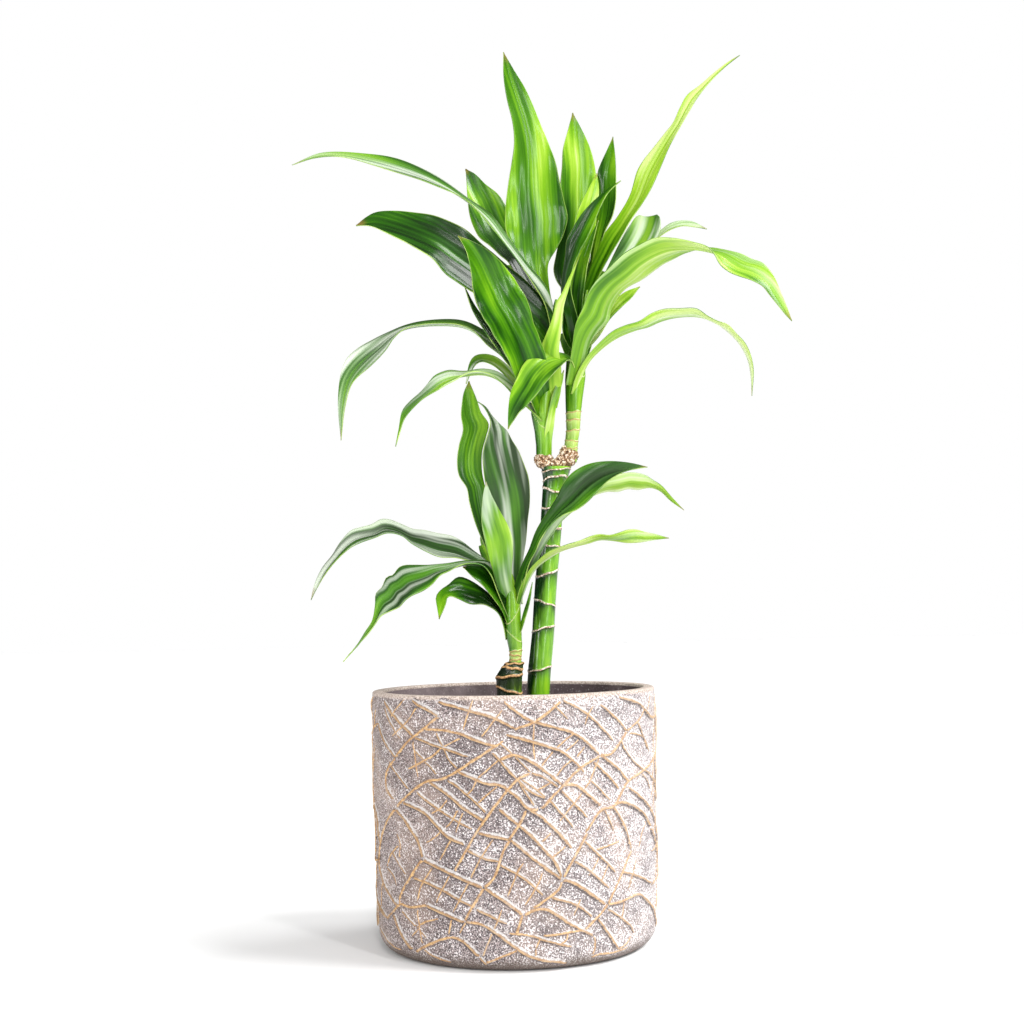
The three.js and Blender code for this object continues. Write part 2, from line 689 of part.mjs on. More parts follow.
const SIDE_SHOOT_LEAVES = [
  {
    midrib: [[0, -4, 184], [-6, 1, 205], [-13, 1, 224], [-19, -1, 243], [-22, -3, 263], [-20, -5, 283],
      [-20, -7, 297], [-22, -8, 313]],
    width: 16, widest: 0.6, turn: [30, 25, 15, 20, 30], waves: 2,
  },
  {
    midrib: [[1, -4, 186], [3, 1, 202], [2, 1, 220], [0, 0, 240], [-2, -3, 260], [-5, -8, 278],
      [-9, -13, 290], [-16, -20, 300]],
    width: 26, widest: 0.6, turn: [0, 0, 5, 10, 30], waves: 2,
  },
  {
    midrib: [[1, -5, 183], [-2, -12, 198], [-5, -16, 213], [-9, -20, 233], [-13, -24, 255]],
    width: 18, widest: 0.45, turn: [10, 5, 10], waves: 2,
  },
  {
    midrib: [[0, -4, 181], [-7, -3, 201], [-17, -5, 212], [-31, -6, 219], [-45, -3, 223], [-61, 3, 230],
      [-77, 10, 230], [-94, 18, 221], [-107, 27, 208], [-118, 36, 192]],
    width: 20, widest: 0.5, turn: [60, 50, 45, 75, 50, 50], waves: 2,
  },
  {
    midrib: [[0, -5, 178], [-6, -9, 196], [-15, -15, 210], [-31, -22, 209], [-44, -29, 206], [-57, -36, 199],
      [-66, -42, 190], [-75, -46, 177], [-90, -49, 158]],
    width: 22, widest: 0.55, turn: [60, 65, 60, 48, 55], waves: 2,
  },
  {
    midrib: [[-1, -5, 169], [-6, -9, 186], [-16, -15, 194], [-27, -21, 198], [-35, -28, 193], [-39, -34, 180]],
    width: 23, widest: 0.5, turn: [30, 20, 20, 30], waves: 1,
  },
  {
    midrib: [[0, -5, 174], [-6, -11, 188], [-14, -16, 200], [-25, -19, 207]],
    width: 12, widest: 0.5, turn: [40, 40, 50], waves: 0,
  },
  {
    midrib: [[2, -5, 189], [7, -14, 209], [17, -21, 226], [28, -27, 240], [40, -32, 251], [53, -36, 257],
      [64, -40, 260], [75, -44, 259]],
    width: 20, widest: 0.55, turn: [-30, -40, -42, -45, -55], waves: 2,
  },
  {
    midrib: [[3, -5, 188], [10, -11, 211], [21, -14, 228], [35, -14, 240], [50, -11, 248], [65, -6, 254],
      [81, 1, 251], [100, 12, 239]],
    width: 14, widest: 0.6, turn: [-100, -115, -118, -118, -100], waves: 2,
  },
  {
    midrib: [[3, -5, 185], [7, -12, 201], [16, -16, 210], [29, -19, 216], [44, -20, 222], [60, -20, 223],
      [74, -18, 224], [88, -15, 222]],
    width: 11, widest: 0.6, turn: [-100, -110, -112, -112, -100], waves: 2,
  },
  {
    midrib: [[3, -6, 166], [7, -9, 179], [10, -9, 189], [12, -8, 199]],
    width: 4, widest: 0.5, turn: [-60, -60, -60], waves: 0,
  },
  {
    midrib: [[0, -4, 186], [-6, 20, 214], [-12, 45, 226], [-16, 68, 216]],
    width: 20, widest: 0.5, turn: [10, 0, 0], waves: 2,
  },
];

const LEAF_FOLD = 0.22; // depth of the channel along the midrib, as a share of half the width
const LEAF_WAVE = 0.13; // height of the margin's waves, as a share of half the width
const LEAF_STATION = 15; // mm between sections along a leaf

/** Share of the greatest width at t from root to tip. */
function leafOutline(t, widest) {
  const footShare = 0.38;
  if (t < widest) return footShare + (1 - footShare) * Math.sin((Math.PI / 2) * (t / widest)) ** 1.6;
  const s = (t - widest) / (1 - widest);
  return (1 - s ** 1.5) ** 1.15;
}

function makeLeaf({ midrib, width, widest, turn, waves }, leafNumber) {
  const path = new THREE.CatmullRomCurve3(midrib.map((point) => new THREE.Vector3(...point)));
  const count = Math.max(4, Math.round(path.getLength() / LEAF_STATION));
  const phase = 6 * chance(leafNumber + 900);
  const sections = [];
  for (let i = 0; i <= count; i += 1) {
    const t = i / count;
    const middle = path.getPointAt(t);
    const tangent = path.getTangentAt(t);
    const front = new THREE.Vector3(0, -1, 0);
    front.addScaledVector(tangent, -front.dot(tangent)).normalize();
    const upper = front.applyAxisAngle(tangent, THREE.MathUtils.degToRad(along(turn, t)));
    const side = tangent.clone().cross(upper);
    const half = Math.max(0.4, (width / 2) * leafOutline(t, widest));
    const lift = (edge) => LEAF_FOLD * half
      + LEAF_WAVE * half * Math.sin(2 * Math.PI * waves * t + phase + edge) * Math.sin(Math.PI * t);
    const place = (across, raised, thickness) => middle.clone()
      .addScaledVector(side, across * half)
      .addScaledVector(upper, raised + thickness / 2);
    const thin = LEAF_EDGE_THICKNESS;
    const thick = i === count ? thin : LEAF_RIB_THICKNESS;
    sections.push([
      place(-1, lift(0), thin), place(0, 0, thick), place(1, lift(1.5), thin),
      place(1, lift(1.5), -thin), place(0, 0, -thick), place(-1, lift(0), -thin),
    ]);
  }
  const caps = [[0, 1, 4], [0, 4, 5], [1, 2, 3], [1, 3, 4]];
  return loft(sections, caps, [3, 4]);
}

function makeLeafyStem(rows, heights, leaves, firstNumber) {
  let solid = stem(rows, heights, STEM_SIDES);
  leaves.forEach((leaf, k) => {
    solid = solid.add(makeLeaf(leaf, firstNumber + k));
  });
  return solid;
}

function makeLeftCrown() {
  return makeLeafyStem(LEFT_STEM, rowHeights(LEFT_STEM), LEFT_CROWN_LEAVES, 0);
}

function makeRightCrown() {
  const plain = rowHeights(RIGHT_STEM).filter(([z]) => z > 292 || z < 268);
  const rings = RIGHT_STEM_RINGS.flatMap((z) => [[z - 1, 0], [z, 0.5], [z + 0.8, -0.1]]);
  const heights = [...plain, ...rings].sort((a, b) => a[0] - b[0]);
  return makeLeafyStem(RIGHT_STEM, heights, RIGHT_CROWN_LEAVES, 100);
}

function makeSideShoot() {
  return makeLeafyStem(SHOOT_STEM, rowHeights(SHOOT_STEM), SIDE_SHOOT_LEAVES, 200);
}

// ---------------------------------------------------------------- the object

const plant = new THREE.Group();

function addPart(name, solid, finish) {
  const mesh = new THREE.Mesh(toGeometry(solid), finish);
  mesh.name = name;
  plant.add(mesh);
}

addPart('pot', makePot(), cement);
addPart('soil', makeSoil(), pottingSoil);
addPart('main_cane', makeMainCane(), caneGreen);
addPart('fork_callus', makeCallus(), callusBrown);
addPart('left_crown', makeLeftCrown(), leafGreen);
addPart('right_crown', makeRightCrown(), leafGreen);
addPart('short_cane', makeShortCane(), oldCane);
addPart('side_shoot', makeSideShoot(), deepLeafGreen);

export default plant;
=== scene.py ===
"""Potted dracaena: a speckled cement pot with a raised net, a ringed cane with a forked crown,
and a short cut cane with a leafy shoot. Sizes in the tables are millimetres, -Y is the front."""

import math

import bpy
import numpy as np
from mathutils import Matrix, Vector, kdtree, noise


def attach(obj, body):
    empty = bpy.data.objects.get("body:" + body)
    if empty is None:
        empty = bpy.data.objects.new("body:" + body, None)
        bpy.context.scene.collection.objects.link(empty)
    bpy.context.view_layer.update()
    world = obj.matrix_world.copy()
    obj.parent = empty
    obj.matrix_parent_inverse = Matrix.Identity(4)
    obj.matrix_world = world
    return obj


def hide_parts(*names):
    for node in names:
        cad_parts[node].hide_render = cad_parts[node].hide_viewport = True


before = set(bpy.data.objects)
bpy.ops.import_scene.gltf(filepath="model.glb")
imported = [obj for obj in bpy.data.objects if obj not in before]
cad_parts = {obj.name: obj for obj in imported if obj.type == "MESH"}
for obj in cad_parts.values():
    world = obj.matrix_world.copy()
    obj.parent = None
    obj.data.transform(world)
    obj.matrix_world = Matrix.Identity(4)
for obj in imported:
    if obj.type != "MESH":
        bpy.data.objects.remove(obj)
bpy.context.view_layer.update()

MM = 0.001
QUARTER_TURN = math.pi / 2
FULL_TURN = 2 * math.pi
WELD_DISTANCE = 1e-6
CURVE_STEPS = 40

# ------------------------------------------------------------------ small helpers


def chance(n):
    """A repeatable value from 0 to 1 for the n-th draw of anything that varies by chance."""
    value = math.sin(n * 12.9898) * 43758.5453
    return value - math.floor(value)


def deselect():
    bpy.ops.object.select_all(action="DESELECT")


def choose(*pieces):
    """Selects only these pieces and makes the first one active."""
    deselect()
    for piece in pieces:
        piece.select_set(True)
    bpy.context.view_layer.objects.active = pieces[0]


def modify(piece, kind, **settings):
    """Adds a modifier with its settings and applies it."""
    choose(piece)
    modifier = piece.modifiers.new(kind.title(), kind)
    for name, value in settings.items():
        setattr(modifier, name, value)
    bpy.ops.object.modifier_apply(modifier=modifier.name)


def join(pieces, name):
    choose(*pieces)
    bpy.ops.object.join()
    pieces[0].name = name
    return pieces[0]


def close_seams():
    """Welds doubled corners of the chosen mesh and turns its faces outwards."""
    bpy.ops.object.mode_set(mode="EDIT")
    bpy.ops.mesh.select_all(action="SELECT")
    bpy.ops.mesh.remove_doubles(threshold=WELD_DISTANCE)
    bpy.ops.mesh.normals_make_consistent(inside=False)
    bpy.ops.object.mode_set(mode="OBJECT")


def unit(vectors, least=0.0):
    return vectors / np.maximum(least, np.linalg.norm(vectors, axis=1, keepdims=True))


def smooth_path(points, count):
    """Evenly spaced points, and their directions, on a smooth curve through the given points."""
    points = np.array(points, float)
    padded = np.vstack([2 * points[0] - points[1], points, 2 * points[-1] - points[-2]])
    share = np.linspace(0, 1, CURVE_STEPS, endpoint=False)[:, None]
    dense = []
    for p0, p1, p2, p3 in zip(padded, padded[1:], padded[2:], padded[3:]):
        d0, d1, d2 = (np.linalg.norm(b - a) ** 0.5 for a, b in ((p0, p1), (p1, p2), (p2, p3)))
        leave = ((p1 - p0) / d0 - (p2 - p0) / (d0 + d1) + (p2 - p1) / d1) * d1
        arrive = ((p2 - p1) / d1 - (p3 - p1) / (d1 + d2) + (p3 - p2) / d2) * d1
        square = 3 * (p2 - p1) - 2 * leave - arrive
        cube = 2 * (p1 - p2) + leave + arrive
        dense.append(p1 + leave * share + square * share ** 2 + cube * share ** 3)
    dense = np.vstack([*dense, points[-1:]])
    length = np.concatenate([[0], np.cumsum(np.linalg.norm(np.diff(dense, axis=0), axis=1))])
    even = np.linspace(0, length[-1], count)
    places = np.stack([np.interp(even, length, dense[:, k]) for k in range(points.shape[1])], axis=1)
    return places, unit(np.gradient(places, axis=0))


# The photograph's view: where the camera stands, how it is turned, and its focal length in pixels.
CAMERA_PLACE = (1.34, -850, 184)
CAMERA_PITCH = 0.0648
CAMERA_ROLL = 0.0192
FOCAL_PIXELS = 1502
PHOTO_MIDDLE = 512
PIXELS_PER_MM = 1.757
CAMERA_SENSOR = 36
CAMERA_LENS = 52.8


def photo_place(pixels, depth):
    """Places in mm that show at the photo's pixels and lie at these depths behind the pot's axis."""
    x = (pixels[:, 0] - PHOTO_MIDDLE) / FOCAL_PIXELS
    y = (PHOTO_MIDDLE - pixels[:, 1]) / FOCAL_PIXELS
    right = x * math.cos(CAMERA_ROLL) + y * math.sin(CAMERA_ROLL)
    up = y * math.cos(CAMERA_ROLL) - x * math.sin(CAMERA_ROLL)
    ahead = math.cos(CAMERA_PITCH) - up * math.sin(CAMERA_PITCH)
    above = math.sin(CAMERA_PITCH) + up * math.cos(CAMERA_PITCH)
    far = (depth - CAMERA_PLACE[1]) / ahead
    return np.stack([CAMERA_PLACE[0] + right * far, depth, CAMERA_PLACE[2] + above * far], axis=1)


def around(radius, angle, height, x=0, y=0):
    """Rows of points at these radii, angles and heights round an upright axis."""
    return np.stack([x + radius * np.cos(angle), y + radius * np.sin(angle), height + 0 * angle], axis=2)


def skin(name, points, values=None, weld=True):
    """A grid primitive shaped to rows of points; weld closes its seam and its poles."""
    rows, columns = points.shape[:2]
    deselect()
    bpy.ops.mesh.primitive_grid_add(x_subdivisions=columns - 1, y_subdivisions=rows - 1, size=1)
    piece = bpy.context.object
    piece.name = name
    piece.data.vertices.foreach_set("co", (points * MM).ravel())
    for key, value in (values or {}).items():
        spread = np.broadcast_to(value, (rows, columns)).astype(np.float32)
        piece.data.attributes.new(key, "FLOAT", "POINT").data.foreach_set("value", spread.ravel())
    if weld:
        close_seams()
    bpy.ops.object.shade_smooth()
    return piece


def settle(piece, slot, node, *materials):
    """Gives the piece its materials, hangs it under the root body and hides the part of model.glb it stands
    for; the slot is not used.
    """
    if materials:
        piece.data.materials.clear()
        for material in materials:
            piece.data.materials.append(material)
    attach(piece, "root")
    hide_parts(node)


# ------------------------------------------------------------------ shader nodes


class Wire:
    """One output of a shader node; sums on it add the Math nodes that work them out."""

    def __init__(self, finish, socket):
        self.finish = finish
        self.socket = socket

    def math(self, operation, *values):
        return self.finish.node("ShaderNodeMath", {"operation": operation}, values)

    def __add__(self, other):
        return self.math("ADD", self, other)

    def __sub__(self, other):
        return self.math("SUBTRACT", self, other)

    def __rsub__(self, other):
        return self.math("SUBTRACT", other, self)

    def __mul__(self, other):
        return self.math("MULTIPLY", self, other)

    __radd__ = __add__
    __rmul__ = __mul__

    def size(self):
        return self.math("ABSOLUTE", self)


class Finish:
    """The nodes that paint a material, or that light the world."""

    def __init__(self, name, holder=None):
        self.material = holder or bpy.data.materials.new(name)
        self.material.use_nodes = True
        self.tree = self.material.node_tree
        self.tree.nodes.clear()

    def node(self, kind, settings=None, inputs=(), output=0):
        """Adds a node: its settings first, then the values or wires of its sockets."""
        made = self.tree.nodes.new(kind)
        for name, value in (settings or {}).items():
            if name == "stops":
                self.set_stops(made.color_ramp, value)
            else:
                setattr(made, name, value)
        pairs = inputs.items() if isinstance(inputs, dict) else enumerate(inputs)
        for key, value in pairs:
            if isinstance(value, Wire):
                self.tree.links.new(value.socket, made.inputs[key])
            else:
                made.inputs[key].default_value = value
        return Wire(self, made.outputs[output])

    @staticmethod
    def set_stops(ramp, stops):
        while len(ramp.elements) < len(stops):
            ramp.elements.new(1.0)
        for element, (place, color) in zip(ramp.elements, stops):
            element.position = place
            element.color = (*color, 1)

    def place(self):
        return self.node("ShaderNodeTexCoord", output="Object")

    def attributes(self, *names):
        kind = "ShaderNodeAttribute"
        return [self.node(kind, {"attribute_name": name}, output="Fac") for name in names]

    def axis(self, vector, letter):
        return self.node("ShaderNodeSeparateXYZ", None, [vector], letter)

    def along_and_across(self):
        """The leaf's own coordinates: 0 to 1 from root to tip, and -1 to 1 over its width."""
        chart = self.node("ShaderNodeUVMap")
        return self.axis(chart, "Y"), self.axis(chart, "X") * 2 - 1

    def triple(self, x, y, z):
        return self.node("ShaderNodeCombineXYZ", None, [x, y, z])

    def cloud(self, vector, scale, detail=3.0, rough=0.55):
        """Noise; a scale of three numbers stretches it along the axes."""
        if isinstance(scale, tuple):
            vector = self.node("ShaderNodeVectorMath", {"operation": "MULTIPLY"}, [vector, scale])
            scale = 1.0
        inputs = {"Vector": vector, "Scale": scale, "Detail": detail, "Roughness": rough}
        return self.node("ShaderNodeTexNoise", {"noise_dimensions": "3D"}, inputs)

    def cells(self, vector, scale):
        return self.node("ShaderNodeTexVoronoi", {"feature": "F1"}, {"Vector": vector, "Scale": scale})

    def step(self, value, low, high, start=0.0, end=1.0):
        """A soft step from start at low to end at high."""
        settings = {"interpolation_type": "SMOOTHSTEP"}
        return self.node("ShaderNodeMapRange", settings, [value, low, high, start, end])

    def blend(self, share, first, second):
        """The first colour with this share of the second laid over it."""
        colors = (color if isinstance(color, Wire) else (*color, 1) for color in (first, second))
        return self.node("ShaderNodeMix", {"data_type": "RGBA"}, dict(zip((0, 6, 7), (share, *colors))), 2)

    def bump(self, height, depth):
        inputs = {"Strength": 1.0, "Distance": depth, "Filter Width": 1.0, "Height": height}
        return self.node("ShaderNodeBump", None, inputs)

    def finished(self, shader, kind):
        out = self.tree.nodes.new(kind)
        self.tree.links.new(shader.socket, out.inputs["Surface"])
        return self.material

    def done(self, **sockets):
        """Ends the material in one shader with these sockets."""
        inputs = {name.replace("_", " "): value for name, value in sockets.items()}
        return self.finished(self.node("ShaderNodeBsdfPrincipled", None, inputs), "ShaderNodeOutputMaterial")


# ------------------------------------------------------------------ finishes


def speckled(finish, place):
    """The cement's colour: purple-grey, finely speckled and browner in patches; paler to the right, partly a
    whitish wash and partly painted light from the right, and darker left of the middle, which is painted
    shade."""
    grain, dust = (finish.cloud(place, scale, 1.0, 0.6) for scale in (1300, 1200))
    patches = finish.cloud(place, 30, 4.0, 0.6)
    shade = finish.cloud(place, 19, 2.0, 0.5)
    wash = finish.cloud(place, 60, 3.0, 0.6)
    blotches = finish.cloud(place, (75, 75, 150), 4.0, 0.65)
    toward_right = finish.axis(place, "X") * 6.5 + 0.5
    # pale: paler to the right, partly a whitish wash and partly painted light from the right.
    pale = finish.step(toward_right * 0.9 + wash * 0.9, 0.45, 1.55)
    sandy = 1 - finish.step(toward_right + wash * 0.3, 0.05, 0.45)
    # Painted shade: the cement is darkened left of the middle, where the light from the right falls least.
    painted_left_shade = finish.step(toward_right, 0.02, 0.15) * (1 - finish.step(toward_right + wash * 0.2, 0.45, 0.75))
    color = finish.blend(finish.step(grain, 0.44, 0.57), (0.030, 0.022, 0.025), (0.36, 0.300, 0.295))
    color = finish.blend(finish.step(shade, 0.42, 0.60) * 0.45, color, (0.060, 0.045, 0.047))
    color = finish.blend(pale * 0.38, color, (0.46, 0.42, 0.42))
    color = finish.blend(finish.step(patches, 0.46, 0.70) * 0.4 + sandy * 0.2, color, (0.42, 0.30, 0.23))
    color = finish.blend(painted_left_shade * 0.22, color, (0.11, 0.082, 0.080))
    chalk = dust - painted_left_shade * 0.015 + pale * 0.07 + (wash - 0.5) * 0.1 + (blotches - 0.5) * 0.32
    white = finish.step(chalk, 0.56, 0.65) * (pale * 0.15 + 0.75)
    return finish.blend(white, color, (0.78, 0.74, 0.74)), grain, dust, pale


def wall_finish():
    finish = Finish("speckled cement")
    place = finish.place()
    color, grain, dust, _ = speckled(finish, place)
    near, inner, rim = finish.attributes("near_ridge", "inner", "rim")
    wash = finish.cloud(place, 330, 3.0, 0.7)
    washed = finish.step(near * 0.6 + wash * 0.9, 0.80, 1.10)
    color = finish.blend(washed * 0.45, color, (0.66, 0.62, 0.60))
    scuffs = finish.cloud(place, 70, 5.0, 0.7)
    inside = finish.blend(finish.step(scuffs, 0.52, 0.72), (0.085, 0.060, 0.064), (0.20, 0.155, 0.16))
    inside = finish.blend(finish.step(dust, 0.66, 0.74) * 0.7, inside, (0.60, 0.56, 0.56))
    # Painted light: the inside is lighter on the left, where it faces the light from the right.
    painted_light_inside = 1 - finish.step(finish.axis(place, "X"), -0.075, 0.02)
    inside = finish.blend(painted_light_inside * 0.5, inside, (0.30, 0.24, 0.245))
    color = finish.blend(inner, color, inside)
    lip = finish.blend(finish.step(grain, 0.40, 0.60), (0.30, 0.23, 0.19), (0.60, 0.51, 0.45))
    color = finish.blend(rim * 0.9, color, lip)
    sparse = finish.step(finish.cloud(place, 55, 2.0), 0.60, 0.66)
    pit = (1 - finish.step(finish.cells(place, 190), 0.10, 0.17)) * sparse
    color = finish.blend(pit * 0.85, color, (0.05, 0.035, 0.03))
    # Painted shade: the outside wall darkens towards the floor, as contact shade at the foot.
    low = finish.axis(place, "Z") + (wash - 0.5) * 0.006
    painted_foot_shade = (1 - finish.step(low, 0.002, 0.010)) * (1 - inner)
    color = finish.blend(painted_foot_shade * 0.75, color, (0.10, 0.070, 0.050))
    coarse = finish.bump(grain * 0.6 + dust * 0.4 - pit * 0.9, 0.0005)
    return finish.done(Base_Color=color, Roughness=grain * 0.2 + 0.72, Normal=coarse)


def ridge_finish():
    """Sandy crests, those of falling ridges painted darker where the key light strikes them; white on the
    gentle slope above a crest, partly dust and partly a painted highlight on falling ridges, dust at the
    joints, and a painted shadow line below the crest.
    """
    finish = Finish("sandy ridge")
    place = finish.place()
    flank, meet, steep = finish.attributes("flank", "meet", "steep")
    speckle, grain, _, pale = speckled(finish, place)
    rough = finish.cloud(place, 520, 3.0, 0.75)
    uneven = finish.cloud(place, 110, 3.0, 0.6)
    offset = flank + (rough - 0.5) * 1.6
    sand = finish.blend(finish.step(rough, 0.38, 0.62), (0.33, 0.17, 0.065), (0.66, 0.42, 0.19))
    # Painted shade: the crests of falling ridges face the key light and are painted darker to tone it down.
    lit = steep * finish.step(offset, -0.5, 0.5)
    sand = finish.blend(lit * 0.7, sand, (0.24, 0.155, 0.085))
    # Paler to the right, partly wash and partly painted light from the right.
    sand = finish.blend(pale * 0.35, sand, (0.50, 0.40, 0.31))
    worn = finish.step(uneven + (rough - 0.5) * 0.6, 0.52, 0.72)
    sand = finish.blend(worn * 0.3, sand, (0.50, 0.44, 0.39))
    # White above the crest: dust, and on falling ridges also a painted highlight where the slope faces the
    # key light; dust at the joints.
    above = finish.step(offset, 0.7, 1.1) * (1 - finish.step(offset, 1.6, 3.2))
    dust_and_highlight = above * (steep * 0.6 + 0.2) + meet * 0.2
    white = finish.step(dust_and_highlight + (rough - 0.5) * 1.2 + (uneven - 0.5), 0.42, 0.85)
    # Painted shadow: a dark line below the crest, darker on falling ridges.
    below = 0.0 - offset
    under = finish.step(below, 0.70, 1.0) * (1 - finish.step(below, 1.8, 2.8))
    crest = 1 - finish.step(offset.size(), 0.60, 1.0)
    color = finish.blend(white * 0.7, speckle, (0.58, 0.56, 0.55))
    color = finish.blend(under * (steep * 0.35 + 0.25), color, (0.06, 0.042, 0.040))
    color = finish.blend(crest * 0.95, color, sand)
    coarse = finish.bump(grain * 0.4 + rough * 0.8, 0.0008)
    return finish.done(Base_Color=color, Roughness=grain * 0.2 + 0.68, Normal=coarse)


def soil_finish():
    finish = Finish("potting soil")
    place = finish.place()
    crumbs = finish.cloud(place, 320, 5.0, 0.7)
    damp = finish.cloud(place, 30, 3.0)
    color = finish.blend(finish.step(crumbs, 0.3, 0.7), (0.012, 0.008, 0.006), (0.085, 0.052, 0.033))
    color = finish.blend(finish.step(damp, 0.5, 0.8) * 0.5, color, (0.12, 0.08, 0.055))
    return finish.done(Base_Color=color, Roughness=0.95, Normal=finish.bump(crumbs, 0.001))


def bark_finish(name, deep, fresh, scar, gloss):
    """Cane bark: painted shade, deep green, on the side turned from the light and painted light, fresh green
    to lime, on the side turned to it; deep green under each ring, with fine streaks along it and pale ring
    scars."""
    finish = Finish(name)
    place = finish.place()
    ring, under, facing = finish.attributes("ring", "under_ring", "facing")
    streaks = finish.cloud(place, (1100, 1100, 45), 3.0, 0.6)
    blots = finish.cloud(place, (190, 190, 50))
    # Painted light and shade: facing darkens the side turned from the light and lightens the side turned to
    # it; blots and streaks vary it at random.
    share = facing + (blots - 0.5) * 0.9 + (streaks - 0.5) * 0.35 - under * 0.45
    color = finish.blend(finish.step(share, 0.41, 1.05), deep, fresh)
    # Painted light: lime on the side turned most to the light.
    color = finish.blend(finish.step(share, 0.85, 1.15) * 0.6, color, (0.33, 0.56, 0.02))
    crust = finish.cloud(place, 900, 4.0, 0.7)
    tan = finish.blend(finish.step(crust, 0.40, 0.58), (0.26, 0.12, 0.06), scar)
    color = finish.blend(finish.step(ring + (crust - 0.5) * 0.5, 0.32, 0.55), color, tan)
    height = streaks * 0.15 + ring * crust
    rough = finish.step(ring, 0.2, 0.7) * 0.4 + streaks * 0.10 + gloss
    return finish.done(Base_Color=color, Roughness=rough, Normal=finish.bump(height, 0.0004))


def callus_finish():
    """Crumbly tan scar tissue with pale crumbs and dark holes."""
    finish = Finish("callus")
    place = finish.place()
    lumps = finish.cells(place, 700)
    crust = finish.cloud(place, 620, 5.0, 0.75)
    color = finish.blend(finish.step(crust, 0.40, 0.60), (0.20, 0.085, 0.03), (0.66, 0.42, 0.22))
    color = finish.blend(finish.step(crust - lumps * 0.25, 0.36, 0.52), color, (0.90, 0.80, 0.68))
    holes = finish.step(lumps - crust * 0.3, 0.40, 0.60)
    color = finish.blend(holes * 0.85, color, (0.055, 0.025, 0.012))
    return finish.done(Base_Color=color, Roughness=0.85, Normal=finish.bump(crust - lumps * 0.6, 0.0014))


# Leaf greens by tone, from nearly black over mid green to lime and pale yellow.
LEAF_GREENS = [(0.0, (0.003, 0.022, 0.0005)), (0.22, (0.012, 0.070, 0.001)), (0.42, (0.050, 0.18, 0.002)),
               (0.62, (0.16, 0.36, 0.008)), (0.78, (0.30, 0.50, 0.035)), (0.95, (0.50, 0.64, 0.20))]


def leaf_tone(finish, tone):
    return finish.node("ShaderNodeValToRGB", {"stops": LEAF_GREENS}, [tone * 0.70 + 0.045])


def leaf_finish(name, paler, gloss, matt_sheen_color):
    """A pleated leaf: stripes, veins and streaks of painted sheen run from root to tip."""
    finish = Finish(name)
    along, across = finish.along_and_across()
    tone, dull, leaf_seed, span = finish.attributes("tone", "dull", "seed", "span")
    seed = leaf_seed * 37
    over = across * span

    def strands(fine, long, shift, detail=1.0):
        return finish.cloud(finish.triple(over * fine, along * long, seed + shift), 1.0, detail)

    broad = strands(0.08, 2.0, 0, 1.5)
    stripes = strands(0.36, 1.1, 5)
    veins = strands(0.65, 1.4, 9)
    sheen_streaks = strands(0.17, 1.6, 14, 1.5)
    pleats = strands(0.36, 0.6, 20)
    tip = 1 - finish.step(along, 0.80, 0.97)
    side = across.size()
    keel = 1 - finish.step(side, 0.0, 0.05)
    shade = (broad - 0.5) * 2.2 + (stripes - 0.5) * 0.7 + (veins - 0.5) * tip * 0.5 + keel * tip * 0.10
    color = leaf_tone(finish, tone + shade + paler)
    # A grey-green tint on matt leaves, partly painted sheen.
    color = finish.blend(dull * 0.08, color, matt_sheen_color)
    # Painted sheen: pale streaks for the studio's white reflections, on the leaves given the most sheen.
    painted_sheen = finish.step(sheen_streaks + (stripes - 0.5) * 0.45, 0.42, 0.66) * finish.step(dull, 0.15, 0.75)
    color = finish.blend(painted_sheen * 0.74, color, (0.76, 0.81, 0.70))
    dried = finish.step(along + (stripes - 0.5) * 0.05, 0.95, 0.995)
    color = finish.blend(dried * 0.6, color, (0.22, 0.11, 0.04))
    margin = finish.step(side, 0.965, 0.985) * tip
    color = finish.blend(margin * 0.35, color, (0.42, 0.58, 0.14))
    height = pleats + stripes * 0.3 + veins * tip * 0.05
    rough = dull * 0.22 + veins * 0.06 + gloss
    return finish.done(Base_Color=color, Roughness=rough, Normal=finish.bump(height, 0.00022),
                       Specular_IOR_Level=0.20)


def margin_finish():
    finish = Finish("leaf margin")
    along, _ = finish.along_and_across()
    seed, = finish.attributes("seed")
    shade = finish.cloud(finish.triple(along * 6.0, seed * 31, 0.0), 1.0, 2.0)
    color = finish.blend(finish.step(shade, 0.35, 0.7), (0.05, 0.17, 0.01), (0.40, 0.55, 0.12))
    return finish.done(Base_Color=color, Roughness=shade * 0.1 + 0.35)


def stem_finish():
    """Young stem wrapped in leaf sheaths: painted shade, deep green, on the side turned from the light and
    painted light, lime, on the side turned to it, with the sheaths' free edges as thin pale lines."""
    finish = Finish("sheathed stem")
    place = finish.place()
    edge, age, facing = finish.attributes("ring", "under_ring", "facing")
    streaks = finish.cloud(place, (900, 900, 40))
    broad = finish.cloud(place, (150, 150, 35), 2.0)
    # Painted light and shade: facing sets the tone from the shaded side to the lit side; broad and streaks
    # vary it at random.
    tone = facing * 0.85 + (broad - 0.5) * 0.7 + (streaks - 0.5) * 0.5 + age * 0.15
    color = finish.blend(age * 0.6, leaf_tone(finish, tone), (0.60, 0.66, 0.24))
    color = finish.blend(finish.step(edge, 0.35, 0.7) * 0.6, color, (0.60, 0.62, 0.26))
    color = finish.blend(finish.step(edge * age, 0.15, 0.4) * 0.8, color, (0.42, 0.20, 0.08))
    coarse = finish.bump(streaks * 0.3 + edge, 0.0002)
    return finish.done(Base_Color=color, Roughness=streaks * 0.15 + 0.2, Normal=coarse)


